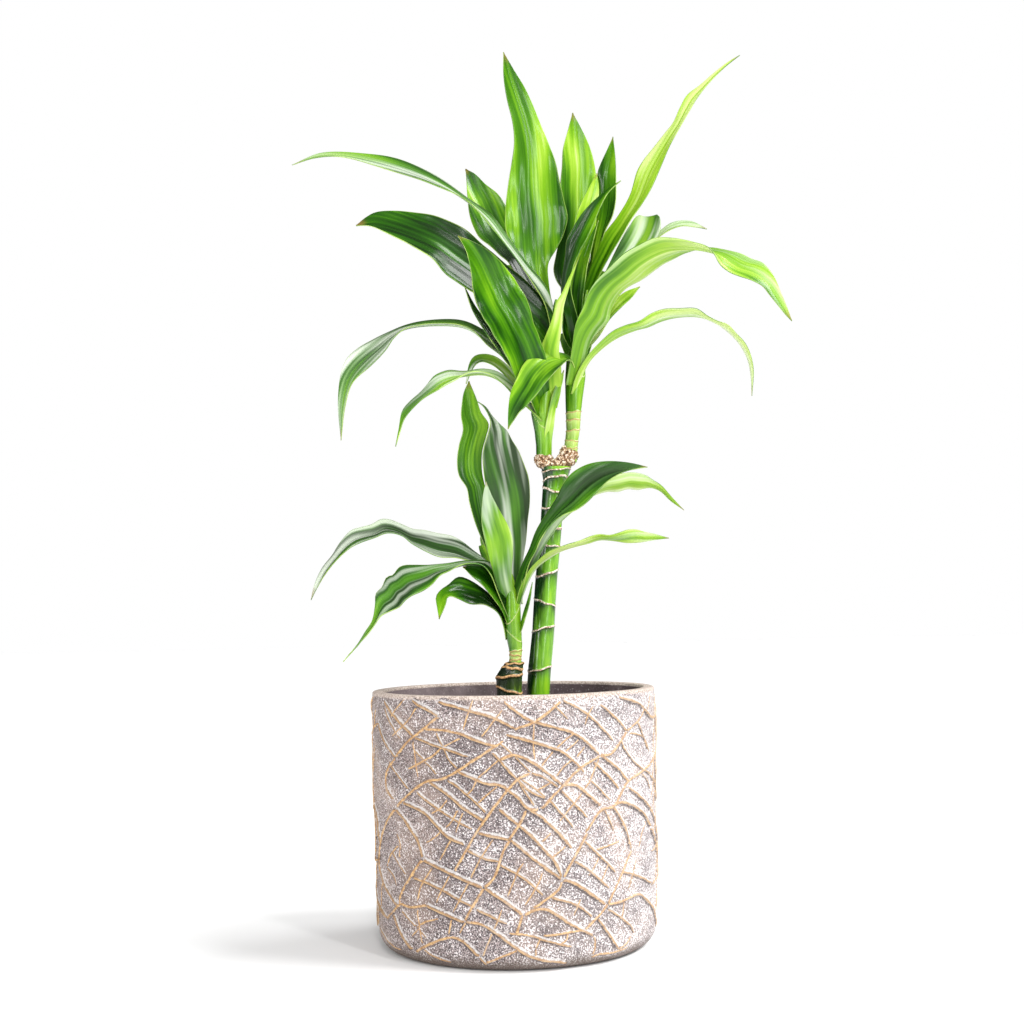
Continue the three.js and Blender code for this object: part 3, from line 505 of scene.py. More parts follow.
WALL = wall_finish()
RIDGE = ridge_finish()
SOIL = soil_finish()
GREEN_BARK = bark_finish("green bark", (0.004, 0.030, 0.004), (0.15, 0.40, 0.012), (0.88, 0.78, 0.66), 0.16)
OLD_BARK = bark_finish("old bark", (0.006, 0.014, 0.005), (0.035, 0.070, 0.010), (0.60, 0.36, 0.15), 0.22)
CALLUS = callus_finish()
LEAF_FACE = leaf_finish("leaf face", 0.0, 0.16, (0.34, 0.42, 0.25))
LEAF_BACK = leaf_finish("leaf back", 0.04, 0.30, (0.40, 0.47, 0.30))
LEAF_MARGIN = margin_finish()
STEM = stem_finish()

# ------------------------------------------------------------------ pot

POT_HEIGHT = 140
POT_RIM_RADIUS = 79
POT_FOOT_RADIUS = 77
POT_FOOT_ROUND = 10
POT_WALL = 6.5
POT_FLOOR = 9
FLOOR_RING = 40
RIM_ROUND = 1.4
BORE_TAPER = 3.0
BORE_STEPS = 10
BORE_STEP = 12.9
POT_COLUMNS = 480
POT_ROWS = 112
WASH_REACH = 4.0

# The net of ridges on the front half, traced over the photo in (column, row) pixels: the main
# ones, the lower ones that part the larger cells, and the finest. The mould's pattern comes once
# more on the back half.
MAIN_LINES = [
    [(412, 700), (439, 716)], [(439, 716), (421, 732), (412, 738), (396, 758)], [(384, 700), (414, 736)],
    [(437, 701), (496, 719), (515, 729)], [(424, 729), (454, 732), (487, 744), (499, 746)],
    [(396, 808), (418, 787), (429, 781), (441, 779), (451, 775), (505, 740)],
    [(429, 782), (447, 794), (466, 810), (484, 821)],
    [(457, 771), (488, 784), (499, 785), (516, 796), (529, 809), (540, 810)],
    [(403, 802), (425, 813), (448, 837), (466, 845)],
    [(396, 808), (385, 830), (381, 860), (384, 880), (400, 908)],
    [(396, 809), (404, 818), (417, 838), (421, 848), (423, 859)],
    [(423, 859), (405, 888), (401, 898), (401, 905)], [(423, 859), (484, 888)],
    [(484, 888), (504, 901), (523, 915)],
    [(454, 873), (479, 829), (502, 797), (516, 781), (524, 776), (531, 773)],
    [(484, 888), (491, 882), (495, 876), (505, 848), (510, 840)], [(484, 888), (465, 921)],
    [(478, 833), (510, 840)], [(510, 839), (531, 857), (562, 880)], [(400, 903), (413, 907), (427, 905)],
    [(427, 905), (465, 922)], [(465, 922), (478, 923), (487, 927), (526, 954), (538, 959), (568, 963)],
    [(416, 952), (433, 943), (453, 937), (463, 941), (480, 957)], [(394, 914), (404, 937), (413, 949)],
    [(401, 904), (388, 919)], [(502, 700), (528, 719), (575, 734), (600, 755)],
    [(600, 755), (616, 767), (628, 781)], [(600, 755), (608, 755), (613, 751), (626, 731)],
    [(619, 697), (637, 703), (643, 708)], [(499, 760), (515, 755), (533, 763), (562, 785)],
    [(505, 734), (560, 751), (569, 757), (585, 773)], [(513, 730), (536, 721), (561, 701)],
    [(600, 755), (581, 767), (572, 775), (540, 810)], [(529, 809), (545, 820), (573, 849)],
    [(498, 808), (529, 834), (549, 855), (557, 865), (562, 879)], [(526, 810), (523, 818), (509, 840)],
    [(562, 785), (570, 784), (577, 786), (600, 806)],
    [(585, 833), (601, 810), (613, 806), (626, 783), (642, 771), (650, 763)], [(587, 832), (563, 878)],
    [(613, 806), (624, 827), (630, 849)], [(630, 849), (608, 903)],
    [(562, 880), (572, 882), (581, 887), (606, 905)],
    [(608, 904), (616, 903), (638, 894), (644, 898), (650, 905)], [(608, 904), (585, 930)],
    [(523, 916), (530, 912), (539, 909), (548, 910), (572, 925), (594, 936)],
    [(562, 881), (560, 887), (540, 904), (533, 908)], [(523, 915), (516, 935)], [(598, 919), (618, 949)],
    [(628, 787), (645, 802), (650, 809)], [(613, 804), (622, 802), (631, 805), (642, 813), (650, 827)],
    [(396, 758), (387, 774), (387, 787), (394, 800)],
]

BRANCH_LINES = [
    [(416, 791), (430, 803), (450, 817), (473, 830)], [(378, 722), (386, 743), (396, 758)],
    [(414, 737), (470, 757)], [(443, 747), (434, 755), (407, 770)], [(491, 751), (531, 792), (547, 798)],
    [(447, 780), (457, 786), (487, 813)], [(413, 877), (435, 886), (475, 908)],
    [(467, 850), (483, 858), (500, 862)], [(499, 864), (526, 880), (544, 896)],
    [(424, 949), (434, 956), (452, 963)], [(593, 762), (610, 778), (619, 789)],
    [(561, 699), (586, 713), (602, 728), (614, 742)], [(643, 708), (640, 717), (626, 731)],
    [(600, 704), (618, 720), (626, 731)], [(620, 738), (625, 750), (632, 759), (640, 767), (650, 774)],
    [(531, 773), (541, 776), (558, 787)], [(560, 790), (588, 818)], [(549, 800), (574, 828)],
    [(551, 897), (578, 906), (593, 917)], [(584, 841), (616, 873)], [(574, 861), (583, 866), (610, 889)],
    [(621, 872), (632, 874), (642, 878), (650, 883)], [(608, 909), (624, 920), (631, 927), (634, 934)],
    [(618, 949), (626, 943), (631, 936)], [(591, 957), (600, 954), (610, 953), (628, 947)],
    [(594, 936), (595, 945), (592, 955)], [(508, 933), (533, 936), (547, 941), (573, 947)],
    [(543, 936), (583, 930)], [(476, 909), (508, 924)], [(486, 963), (518, 950)],
]

FINE_LINES = [
    [(406, 698), (391, 717)], [(384, 706), (389, 719), (401, 740)], [(418, 705), (409, 720), (391, 738)],
    [(473, 699), (463, 731)], [(503, 709), (481, 738)], [(388, 760), (409, 790)], [(413, 740), (418, 779)],
    [(443, 747), (449, 759), (458, 769)], [(436, 732), (443, 747)], [(443, 747), (461, 738)],
    [(424, 761), (431, 767), (437, 775)], [(414, 750), (424, 760)], [(499, 760), (477, 779)],
    [(500, 743), (513, 755)], [(477, 780), (473, 788), (467, 795)], [(498, 786), (477, 804)],
    [(448, 799), (441, 808), (431, 814)], [(463, 812), (455, 834)], [(458, 809), (452, 821), (445, 829)],
    [(433, 867), (421, 888), (418, 903)], [(450, 875), (436, 904)], [(470, 881), (453, 913)],
    [(451, 840), (439, 862)], [(441, 831), (433, 839), (425, 843)], [(494, 838), (481, 858), (470, 880)],
    [(525, 861), (519, 870), (507, 898)], [(543, 872), (539, 882), (524, 907)], [(466, 922), (460, 934)],
    [(452, 919), (449, 935)], [(402, 910), (417, 927)], [(417, 928), (424, 923), (440, 918)],
    [(418, 908), (423, 945)], [(420, 928), (412, 937)], [(421, 931), (427, 938)],
    [(378, 896), (382, 909), (388, 919)], [(380, 926), (386, 938), (394, 946), (403, 951)],
    [(599, 757), (588, 783), (583, 790)], [(552, 703), (569, 720)], [(574, 733), (556, 748)],
    [(553, 751), (541, 767)], [(579, 739), (565, 752)], [(585, 746), (576, 757)], [(534, 723), (533, 741)],
    [(533, 742), (535, 760)], [(572, 759), (563, 767), (556, 777)], [(514, 755), (531, 773)],
    [(520, 779), (532, 786), (547, 798)], [(553, 781), (537, 790)], [(519, 783), (535, 807)],
    [(582, 792), (558, 823)], [(590, 780), (611, 801)], [(581, 898), (573, 917)], [(599, 857), (588, 877)],
    [(608, 864), (601, 881)], [(566, 846), (552, 858)], [(551, 833), (542, 842)], [(502, 909), (494, 930)],
    [(492, 933), (483, 957)], [(480, 957), (487, 965)], [(397, 832), (401, 843), (400, 858)],
    [(399, 845), (391, 857), (388, 868)], [(393, 851), (407, 876)], [(388, 867), (395, 877), (397, 887)],
    [(628, 733), (636, 734), (643, 737), (650, 753)], [(637, 721), (648, 751)],
    [(642, 773), (647, 781), (650, 790)], [(594, 705), (588, 715), (585, 726)], [(636, 858), (628, 890)],
    [(645, 820), (640, 836), (638, 850)], [(568, 933), (566, 940), (560, 944)],
    [(540, 938), (536, 948), (536, 957)], [(624, 901), (622, 918)], [(604, 808), (614, 832)],
    [(620, 840), (595, 850)],
]

# The ridges at the side, which the photo doesn't show, as (degrees round from the front, height).
SIDE_LINES = [
    [(62, 130), (72, 124), (84, 125), (95, 131), (103, 138)],
    [(70, 99), (78, 104), (86, 112), (98, 118), (111, 124)], [(84, 125), (86, 112)],
    [(69, 93), (77, 88), (84, 79), (92, 75), (101, 78)], [(78, 104), (82, 92), (84, 79)],
    [(69, 75), (78, 67), (86, 55), (98, 48), (108, 50)], [(69, 65), (76, 57), (81, 47), (82, 37)],
    [(68, 35), (75, 36), (82, 37), (92, 34), (102, 26), (116, 20)], [(68, 24), (75, 17), (80, 9)],
    [(82, 37), (85, 46), (86, 55)], [(92, 34), (91, 22), (97, 11)],
    [(98, 48), (103, 62), (101, 78), (99, 95), (98, 118)], [(101, 78), (107, 71), (111, 58)],
]
FINE_SIDE_LINES = [
    [(66, 128), (70, 137)], [(78, 124), (82, 137)], [(74, 102), (76, 113), (79, 124)],
    [(90, 114), (94, 130)], [(103, 120), (107, 132)], [(73, 91), (76, 102)],
    [(81, 96), (85, 103), (90, 113)], [(88, 78), (93, 90), (97, 104)], [(86, 102), (99, 100)],
    [(104, 112), (99, 95)], [(72, 72), (75, 79), (79, 86)], [(80, 64), (88, 77)],
    [(90, 52), (95, 60), (101, 70)], [(84, 70), (92, 76), (100, 84)], [(72, 62), (80, 66)],
    [(75, 36), (77, 42), (80, 50)], [(70, 52), (78, 53)], [(86, 36), (89, 42), (94, 49)],
    [(96, 31), (99, 38), (103, 48)], [(88, 45), (104, 38)], [(75, 17), (79, 27), (84, 37)],
    [(98, 12), (104, 25)], [(84, 24), (92, 28)], [(108, 24), (110, 32), (112, 40)], [(104, 62), (109, 64)],
    [(70, 80), (75, 90)],
]

# A ridge's section: how far from the crest, in half widths, and how proud, in heights. The slope
# that faces up and to the right is the gentle one on ridges that fall to the right.
RIDGE_REACH = np.array([-3.4, -2.3, -1.5, -1.0, -0.6, -0.25, 0.15, 0.55, 1.0, 1.6, 2.4, 3.2, 4.2])
RIDGE_EVEN = np.array([-0.14, 0.04, 0.10, 0.36, 0.80, 0.98, 1.0, 0.84, 0.38, 0.14, 0.05, 0.0, -0.14])
RIDGE_STEEP = np.array([-0.14, 0.0, 0.03, 0.25, 0.82, 1.0, 0.96, 0.64, 0.28, 0.13, 0.06, 0.02, -0.14])
RIDGE_SUNK = 1.0
JOINT_REACH = 4.5
PATH_POINTS = 16
NEIGHBOURS = 24
FAR_OFF = 9


def wall_radius(z):
    """Outside radius of the plain wall at height z."""
    rise = (z - POT_FOOT_ROUND) / (POT_HEIGHT - POT_FOOT_ROUND)
    plain = POT_FOOT_RADIUS + (POT_RIM_RADIUS - POT_FOOT_RADIUS) * rise
    below = np.clip(POT_FOOT_ROUND - z, 0, POT_FOOT_ROUND)
    foot = POT_FOOT_RADIUS - POT_FOOT_ROUND + np.sqrt(POT_FOOT_ROUND ** 2 - below ** 2)
    return np.where(z >= POT_FOOT_ROUND, plain, foot)


def unevenness(angle, z):
    """How far the cast wall stands out from a true round at an angle and a height."""
    swell = 0.22 * np.sin(3 * angle + z / 17) + 0.16 * np.sin(7 * angle - z / 9 + 1.3)
    return swell * np.clip(z / 4, 0, 1)


def unrolled(line):
    """(degrees, height) points as mm round and mm up on the unrolled wall."""
    return np.array([(math.radians(degrees) * POT_RIM_RADIUS, z) for degrees, z in line])


def traced(line):
    """The photo's (column, row) pixels as mm round and mm up on the unrolled wall."""
    pixels = np.array(line, float)
    near = photo_place(pixels, np.full(len(pixels), -POT_RIM_RADIUS))
    axis = photo_place(pixels, np.zeros(len(pixels)))
    sight = axis - near
    a = (sight[:, :2] ** 2).sum(axis=1)
    b = (axis[:, :2] * sight[:, :2]).sum(axis=1)
    hit = near
    for _ in range(3):
        c = (axis[:, :2] ** 2).sum(axis=1) - wall_radius(hit[:, 2]) ** 2
        hit = axis - sight * ((b + np.sqrt(b * b - a * c)) / a)[:, None]
    return np.stack([np.arctan2(hit[:, 0], -hit[:, 1]) * POT_RIM_RADIUS, hit[:, 2]], axis=1)


def smooth_noise(x, z, size, seed):
    """Values from about -1 to 1 that change over about size mm."""
    return np.array([noise.noise((a / size, b / size, seed)) for a, b in zip(x, z)])


def ridge_strip(line, rows, height, width, turn, others):
    """One closed ridge along a line on the unrolled wall; others tells how near the next ridge is."""
    path, way = smooth_path(line, rows)
    x, z = path.T
    meet = np.array([max(0.0, 1 - others(place) / JOINT_REACH) for place in path])
    falls = -2 * way[:, 0] * way[:, 1] > 0.35
    upwards = np.sign(way[:, 0] * 0.98 - way[:, 1] * 0.2)[:, None]
    steep = np.clip(np.convolve(np.pad(falls * 1.0, 2, mode="edge"), np.ones(5) / 5, "valid"), 0, 1)
    spacing = np.linalg.norm(path[1] - path[0])
    from_end = np.minimum(np.arange(rows), np.arange(rows)[::-1]) * spacing
    taper = np.array([1.0 if meet[0 if k < rows / 2 else -1] > 0.4 else 5.0 for k in range(rows)])
    fade = np.clip((from_end + 0.05) / taper, 0, 1) ** 0.6
    height = height * (1 + 0.3 * smooth_noise(x, z, 7, turn)) * fade
    width = width * (1 + 0.3 * smooth_noise(x, z, 5, turn + 3)) * (0.4 + 0.6 * fade)
    wander = 0.3 * smooth_noise(x, z, 6, turn + 9)
    across = upwards * (width[:, None] / 2 * RIDGE_REACH + wander[:, None])
    proud = RIDGE_EVEN * (1 - steep[:, None]) + RIDGE_STEEP * steep[:, None]
    proud = np.where(proud > 0, proud * height[:, None], proud)
    keel = np.full((rows, 1), -RIDGE_SUNK)
    proud = np.hstack([proud, keel, proud[:, :1]])
    across = np.hstack([across, 0 * keel, across[:, :1]])
    across[[0, -1]] = 0
    proud[[0, -1]] = -0.3
    x = x[:, None] - way[:, 1:] * across
    z = np.clip(z[:, None] + way[:, :1] * across, 0.6, POT_HEIGHT - 0.8)
    angle = x / POT_RIM_RADIUS - QUARTER_TURN + math.radians(turn)
    points = around(wall_radius(z) + unevenness(angle, z) + proud, angle, z)
    flank = np.broadcast_to([*RIDGE_REACH, 0, RIDGE_REACH[0]], (rows, len(RIDGE_REACH) + 2))
    return np.dstack([points, flank, *(np.broadcast_to(value[:, None], flank.shape)
                                       for value in (meet, steep))])


def strips(name, made):
    """All strips of equal rows as one grid, cut apart between one strip and the next."""
    rows, columns = made[0].shape[:2]
    stacked = np.vstack(made)
    values = {key: stacked[:, :, 3 + k] for k, key in enumerate(("flank", "meet", "steep"))}
    piece = skin(name, np.ascontiguousarray(stacked[:, :, :3]), values, weld=False)
    face_row = np.arange(len(piece.data.polygons)) // (columns - 1)
    choose(piece)
    bpy.ops.object.mode_set(mode="EDIT")
    bpy.ops.mesh.select_mode(type="FACE")
    bpy.ops.mesh.select_all(action="DESELECT")
    bpy.ops.object.mode_set(mode="OBJECT")
    piece.data.polygons.foreach_set("select", face_row % rows == rows - 1)
    bpy.ops.object.mode_set(mode="EDIT")
    bpy.ops.mesh.delete(type="FACE")
    bpy.ops.object.mode_set(mode="OBJECT")
    close_seams()
    return piece


def make_tree(points):
    tree = kdtree.KDTree(len(points))
    for k, (x, z) in enumerate(points):
        tree.insert((x, z, 0), k)
    tree.balance()
    return tree


def make_net():
    # Each kind of ridge: its lines, rows along each, height and width in mm.
    kinds = [("main ridges", [*map(traced, MAIN_LINES), *map(unrolled, SIDE_LINES)], 29, 1.2, 1.6),
             ("branch ridges", [*map(traced, BRANCH_LINES)], 23, 0.95, 1.3),
             ("fine ridges", [*map(traced, FINE_LINES), *map(unrolled, FINE_SIDE_LINES)], 12, 0.7, 1.0)]
    paths = [smooth_path(line, PATH_POINTS)[0] for kind in kinds for line in kind[1]]
    tree = make_tree(np.vstack(paths))

    def to_next(number):
        def distance(place):
            found = tree.find_n((*place, 0), NEIGHBOURS)
            return min((far for _, k, far in found if k // PATH_POINTS != number), default=FAR_OFF)
        return distance

    pieces = []
    number = 0
    for name, lines, rows, height, width in kinds:
        made = []
        for line in lines:
            made += [ridge_strip(line, rows, height, width, turn, to_next(number)) for turn in (0, 180)]
            number += 1
        pieces.append(strips(name, made))
    return join(pieces, "pot_net"), np.vstack(paths[:len(kinds[0][1]) + len(kinds[1][1])])


def arc(radius, height, bend, start, stop, count):
    """(radius, height) points on a round edge, from one angle to another."""
    angles = np.linspace(start, stop, count)
    return [(radius + bend * math.cos(a), height + bend * math.sin(a)) for a in angles]


def make_wall(net_points):
    bore = POT_RIM_RADIUS - POT_WALL
    shoulder = POT_HEIGHT - RIM_ROUND
    foot = arc(POT_FOOT_RADIUS - POT_FOOT_ROUND, POT_FOOT_ROUND, POT_FOOT_ROUND, -QUARTER_TURN, 0, 10)
    side = [(float(wall_radius(z)), z) for z in np.linspace(POT_FOOT_ROUND, shoulder, POT_ROWS)[1:]]
    rim = arc(POT_RIM_RADIUS - RIM_ROUND, shoulder, RIM_ROUND, 0.4, QUARTER_TURN, 4)
    lip = arc(bore + RIM_ROUND, shoulder, RIM_ROUND, QUARTER_TURN, 2 * QUARTER_TURN, 4)
    inner = [(bore - BORE_TAPER * k / BORE_STEPS, shoulder - BORE_STEP * k)
             for k in (0.03, *range(1, BORE_STEPS + 1))]
    profile = np.array([(0, 0), (FLOOR_RING, 0), *foot, *side, *rim, *lip, *inner,
                        (FLOOR_RING, POT_FLOOR), (0, POT_FLOOR)])
    angle = np.linspace(0, FULL_TURN, POT_COLUMNS + 1) - QUARTER_TURN
    radius, height = profile[:, :1], profile[:, 1:]
    uneven = unevenness(angle, height) * np.clip(radius / FLOOR_RING - 1, 0, 1)
    points = around(radius + uneven, angle, height)
    half_round = math.pi * POT_RIM_RADIUS
    tree = make_tree(np.vstack([net_points + [shift * half_round, 0] for shift in (-1, 0, 1)]))
    outside = range(2, 2 + len(foot) + len(side))
    near = np.zeros(points.shape[:2])
    for i in outside:
        for j, a in enumerate(angle):
            x = ((a + math.pi) % math.pi - QUARTER_TURN) * POT_RIM_RADIUS
            distance = tree.find((x, profile[i, 1], 0))[2]
            near[i, j] = max(0.0, 1 - distance / WASH_REACH)
    index = np.arange(len(profile))[:, None]
    rim_stop = outside.stop + len(rim) + len(lip)
    is_rim = ((index >= outside.stop - 1) & (index < rim_stop)) * 1.0
    return skin("pot_wall", points, {"near_ridge": near, "rim": is_rim, "inner": (index >= rim_stop) * 1.0})


net, net_points = make_net()
settle(make_wall(net_points), "cement", "pot", WALL)
settle(net, "cement", "pot", RIDGE)

# ------------------------------------------------------------------ soil

SOIL_TOP = 118
SOIL_RADIUS = 71.5
SOIL_DEPTH = 100
SOIL_TAPER = 2.4
SOIL_COLUMNS = 150
SOIL_ROWS = 42
CRUMB_DOUBLINGS = 9
CRUMB_MARGIN = 3


def make_soil():
    inward = SOIL_RADIUS * np.linspace(1, 0, SOIL_ROWS)
    radius = np.concatenate([[0, SOIL_RADIUS - SOIL_TAPER], inward])[:, None]
    height = np.full((len(radius), 1), float(SOIL_TOP))
    height[:2] -= SOIL_DEPTH
    points = around(radius, np.linspace(0, FULL_TURN, SOIL_COLUMNS + 1), height)
    for i in range(2, len(radius)):
        for j in range(SOIL_COLUMNS + 1):
            x, y, _ = points[i, j % SOIL_COLUMNS]
            lift = noise.noise(Vector((x, y, 0)) * 0.06) * 1.5 + noise.noise(Vector((x, y, 5)) * 0.45) * 0.9
            points[i, j, 2] += lift if i > 2 else lift * 0.3
    return skin("soil_bed", points)


def make_crumbs():
    """Crumbs of soil: one lump doubled over and over, each then turned, sized and placed."""
    deselect()
    bpy.ops.mesh.primitive_ico_sphere_add(subdivisions=2, radius=1)
    crumbs = bpy.context.object
    corners = len(crumbs.data.vertices)
    bpy.ops.object.mode_set(mode="EDIT")
    for _ in range(CRUMB_DOUBLINGS):
        bpy.ops.mesh.select_all(action="SELECT")
        bpy.ops.mesh.duplicate()
    bpy.ops.object.mode_set(mode="OBJECT")
    count = 2 ** CRUMB_DOUBLINGS
    co = np.empty(count * corners * 3, np.float32)
    crumbs.data.vertices.foreach_get("co", co)
    co = co.reshape(count, corners, 3).astype(float)
    for k in range(count):
        angle = FULL_TURN * chance(k + 0.1)
        reach = (SOIL_RADIUS - CRUMB_MARGIN) * math.sqrt(chance(k + 300.5))
        size = 0.5 + 1.5 * chance(k + 700.9) ** 2
        turn = np.array(Matrix.Rotation(6 * chance(k + 41), 3, Vector((chance(k), chance(k + 1), 0.4))))
        lumps = np.array([0.75 + 0.5 * chance(k * 3.1 + n) for n in range(corners)])[:, None]
        shape = co[k] * lumps * [size * 1.3, size, size * 0.7] @ turn
        co[k] = shape + [reach * math.cos(angle), reach * math.sin(angle), SOIL_TOP + 0.5 * size]
    crumbs.data.vertices.foreach_set("co", (co * MM).astype(np.float32).ravel())
    crumbs.data.update()
    bpy.ops.object.shade_smooth()
    return crumbs


settle(join([make_soil(), make_crumbs()], "soil_surface"), "soil", "soil", SOIL)

# ------------------------------------------------------------------ canes and stems

# Rows of (height, x, y, radius).
MAIN_CANE = [(62, 10, 6, 6.5), (138, 14.4, 6, 6.5), (151, 15.4, 6, 6.6), (172, 17.8, 6, 6.3),
             (203, 20.3, 6, 6.2), (234, 23.8, 5, 6.1), (257, 26.2, 4, 6.8), (264.5, 27, 4, 8.6)]
# Ring scars as (height on the axis, tilt to the right, tilt to the back, width).
MAIN_RINGS = [(128, 0.05, 0.1, 0.8), (150.5, 0.22, 0.1, 1.0), (172.6, 0.25, -0.1, 1.1),
              (188, -0.35, 0.1, 0.9), (204.3, 0.30, 0.1, 1.2), (220.3, -0.12, 0.1, 0.9),
              (228.8, 0.06, -0.1, 1.3), (241.9, 0.1, 0.1, 0.9), (251.7, -0.3, 0.2, 1.2),
              (257.4, 0.12, -0.2, 1.1), (262.6, 0.1, 0, 0.8)]
SHORT_CANE = [(62, -3, -6, 7), (139, -2, -6, 7), (147, -2, -6, 7.4), (151, -0.5, -6, 6.2),
              (154.5, 1.4, -6, 5), (155, 1.4, -6, 3.6)]
SHORT_RINGS = [(128, 0.1, 0, 0.8), (139.5, -0.3, 0.1, 1.2), (147, 0.1, 0, 1.5), (151.5, -0.15, 0, 1.4),
               (154, 0, 0, 1.0)]
LEFT_STEM = [(267, 20, 4, 4.4), (277, 20.3, 3.5, 4.5), (285, 20.2, 3, 5), (295, 19.6, 2, 6.2),
             (312, 21.6, 2, 6.2), (332, 25, 2, 5.4), (349, 27.5, 2, 3.8), (361, 28.9, 2, 1.5)]
RIGHT_STEM = [(267, 34.4, 4, 4.3), (280, 36.3, 4.5, 3.8), (286, 37.3, 5, 3.9), (296, 37.7, 5, 4.4),
              (304, 38.1, 5, 4.9), (315, 38.9, 5, 5.8), (328, 40.4, 5, 6), (341, 42.4, 5, 5),
              (355, 45, 6, 3.4), (367, 47, 6, 1.5)]
RIGHT_RINGS = [(272.5, 0.1, 0, 0.7), (275, 0.05, 0, 0.6), (279.5, -0.1, 0, 0.7), (285.5, 0.1, 0, 0.8),
               (291.5, 0.05, 0, 0.8), (296, 0.1, 0, 0.8)]
SHOOT_STEM = [(151, 1.2, -6, 3.2), (160, 1.8, -6, 3.6), (170, 1.1, -6, 4.6), (178, 0.5, -6, 5),
              (187, 0.3, -5, 5.2), (195, -0.1, -5, 4.2), (204, 0.1, -5, 1.5)]
SHOOT_RINGS = [(153.5, 0, 0, 0.8), (156, 0.1, 0, 0.8), (158.5, -0.1, 0, 0.9), (161, 0.1, 0, 0.9)]

STEM_POINTS = 49
STEM_ROW = 0.5
UNDER_RING_REACH = 4.5


def make_stem(name, rows, rings, sheaths=(), swell=0.45):
    """An upright stem with ring scars and, where it is young, wrapped leaf sheaths."""
    table = np.array(rows, float)
    height = np.append(np.arange(table[0, 0], table[-1, 0], STEM_ROW), table[-1, 0])
    x, y, radius = (np.interp(height, table[:, 0], table[:, k])[:, None] for k in (1, 2, 3))
    angle = np.linspace(0, FULL_TURN, STEM_POINTS)
    z = height[:, None] + 0 * angle
    ring = np.zeros(z.shape)
    under = np.zeros(z.shape)
    # facing: how far each side turns towards the light at the right front; the finishes paint light and
    # shade with it.
    facing = 0.5 + 0.5 * np.cos(angle + 0.9) + 0 * z
    grown = radius + 0.10 * np.sin(3 * angle + z / 8)
    for at, right, back, width in rings:
        plane = at + radius * (right * np.cos(angle) + back * np.sin(angle)) + 0.25 * np.sin(5 * angle + at)
        off = (z - plane) / (width / 2)
        ring = np.maximum(ring, np.exp(-off ** 2 * 1.1))
        below = plane - z
        under = np.maximum(under, np.where(below > 0, np.exp(-below / UNDER_RING_REACH), 0))
        grown = grown + swell * np.exp(-off ** 2) - 0.25 * np.where(below < 0, np.exp(below / 0.9), 0)
    for at, front, rise, thickness in sheaths:
        off = z - at - rise * (1 - np.cos(angle - front)) / 2
        grown = grown - thickness / (1 + np.exp(-off / 0.35))
        ring = np.maximum(ring, np.exp(-(off / 0.45) ** 2))
    points = around(grown, angle, z, x, y)
    ends = [points[k].copy() for k in (0, -1)]
    for end in ends:
        end[:, :2] = end[:, :2].mean(axis=0)
    points = np.stack([ends[0], *points, ends[1]])
    values = {"ring": ring, "under_ring": under, "facing": facing}
    values = {key: np.vstack([value[:1], value, value[-1:]]) for key, value in values.items()}
    return skin(name, points, values)


settle(make_stem("main_cane_bark", MAIN_CANE, MAIN_RINGS), "green_cane", "main_cane", GREEN_BARK)
settle(make_stem("short_cane_bark", SHORT_CANE, SHORT_RINGS, swell=0.6), "old_cane", "short_cane", OLD_BARK)

# ------------------------------------------------------------------ callus

# Lumps of scar tissue as (centre, half sizes): the left collar, the right arm, the bridge between
# them, which climbs to the right, and the crumbs on the cane's cut top.
CALLUS_LUMPS = [((20, 3.5, 268.6), (5.6, 5.8, 4.6)), ((22.4, 2.5, 266.2), (5.2, 5.6, 3.2)),
                ((34.4, 4, 271), (5.4, 5.8, 4.2)), ((32.6, 3, 267.4), (5.6, 5.8, 3.4)),
                ((28, 3, 265.4), (7.4, 6, 2.4)), ((27, 1.5, 267.2), (2.6, 4.6, 1.8)),
                ((29.2, 1.5, 269.4), (2.2, 4.4, 2.0)), ((31, 1.5, 272.4), (2.0, 4.2, 2.4)),
                ((32, 2.5, 274.6), (1.7, 3.6, 2.2))]
CALLUS_GRAIN = 0.4
# Roughness of the callus as (name, size of the bumps, their height).
CALLUS_BUMPS = [("lumps", 2.6, 1.7), ("crumbs", 0.9, 1.1)]


def make_callus():
    """Crumbly scar tissue round the foot of both stems, as lumps grown together."""
    lumps = []
    for centre, half_sizes in CALLUS_LUMPS:
        deselect()
        place, size = (tuple(value * MM for value in triple) for triple in (centre, half_sizes))
        bpy.ops.mesh.primitive_ico_sphere_add(subdivisions=5, radius=1, location=place)
        bpy.ops.transform.resize(value=size)
        bpy.ops.object.transform_apply(location=True, rotation=True, scale=True)
        lumps.append(bpy.context.object)
    callus = join(lumps, "fork_callus_crust")
    modify(callus, "REMESH", mode="VOXEL", voxel_size=CALLUS_GRAIN * MM)
    modify(callus, "SMOOTH", factor=0.8, iterations=6)
    for name, size, strength in CALLUS_BUMPS:
        texture = bpy.data.textures.new(name, "CLOUDS")
        texture.noise_scale = size * MM
        modify(callus, "DISPLACE", texture=texture, strength=strength * MM, mid_level=0.5)
    choose(callus)
    bpy.ops.object.shade_smooth()
    return callus


settle(make_callus(), "callus", "fork_callus", CALLUS)

# ------------------------------------------------------------------ leaves

LEAF_FOLD = 0.22
LEAF_WAVE = 0.10
LEAF_RIPPLE = 0.02
LEAF_PLEAT = 0.13
PLEATS_PER_MM = 1.25
LEAF_THICKNESS = 0.5
LEAF_COLUMNS = 23
LEAF_ROW = 1.8
LEAF_FEWEST_ROWS = 30
TIP_HALF_WIDTH = 0.12
EASE_SPACING = 40


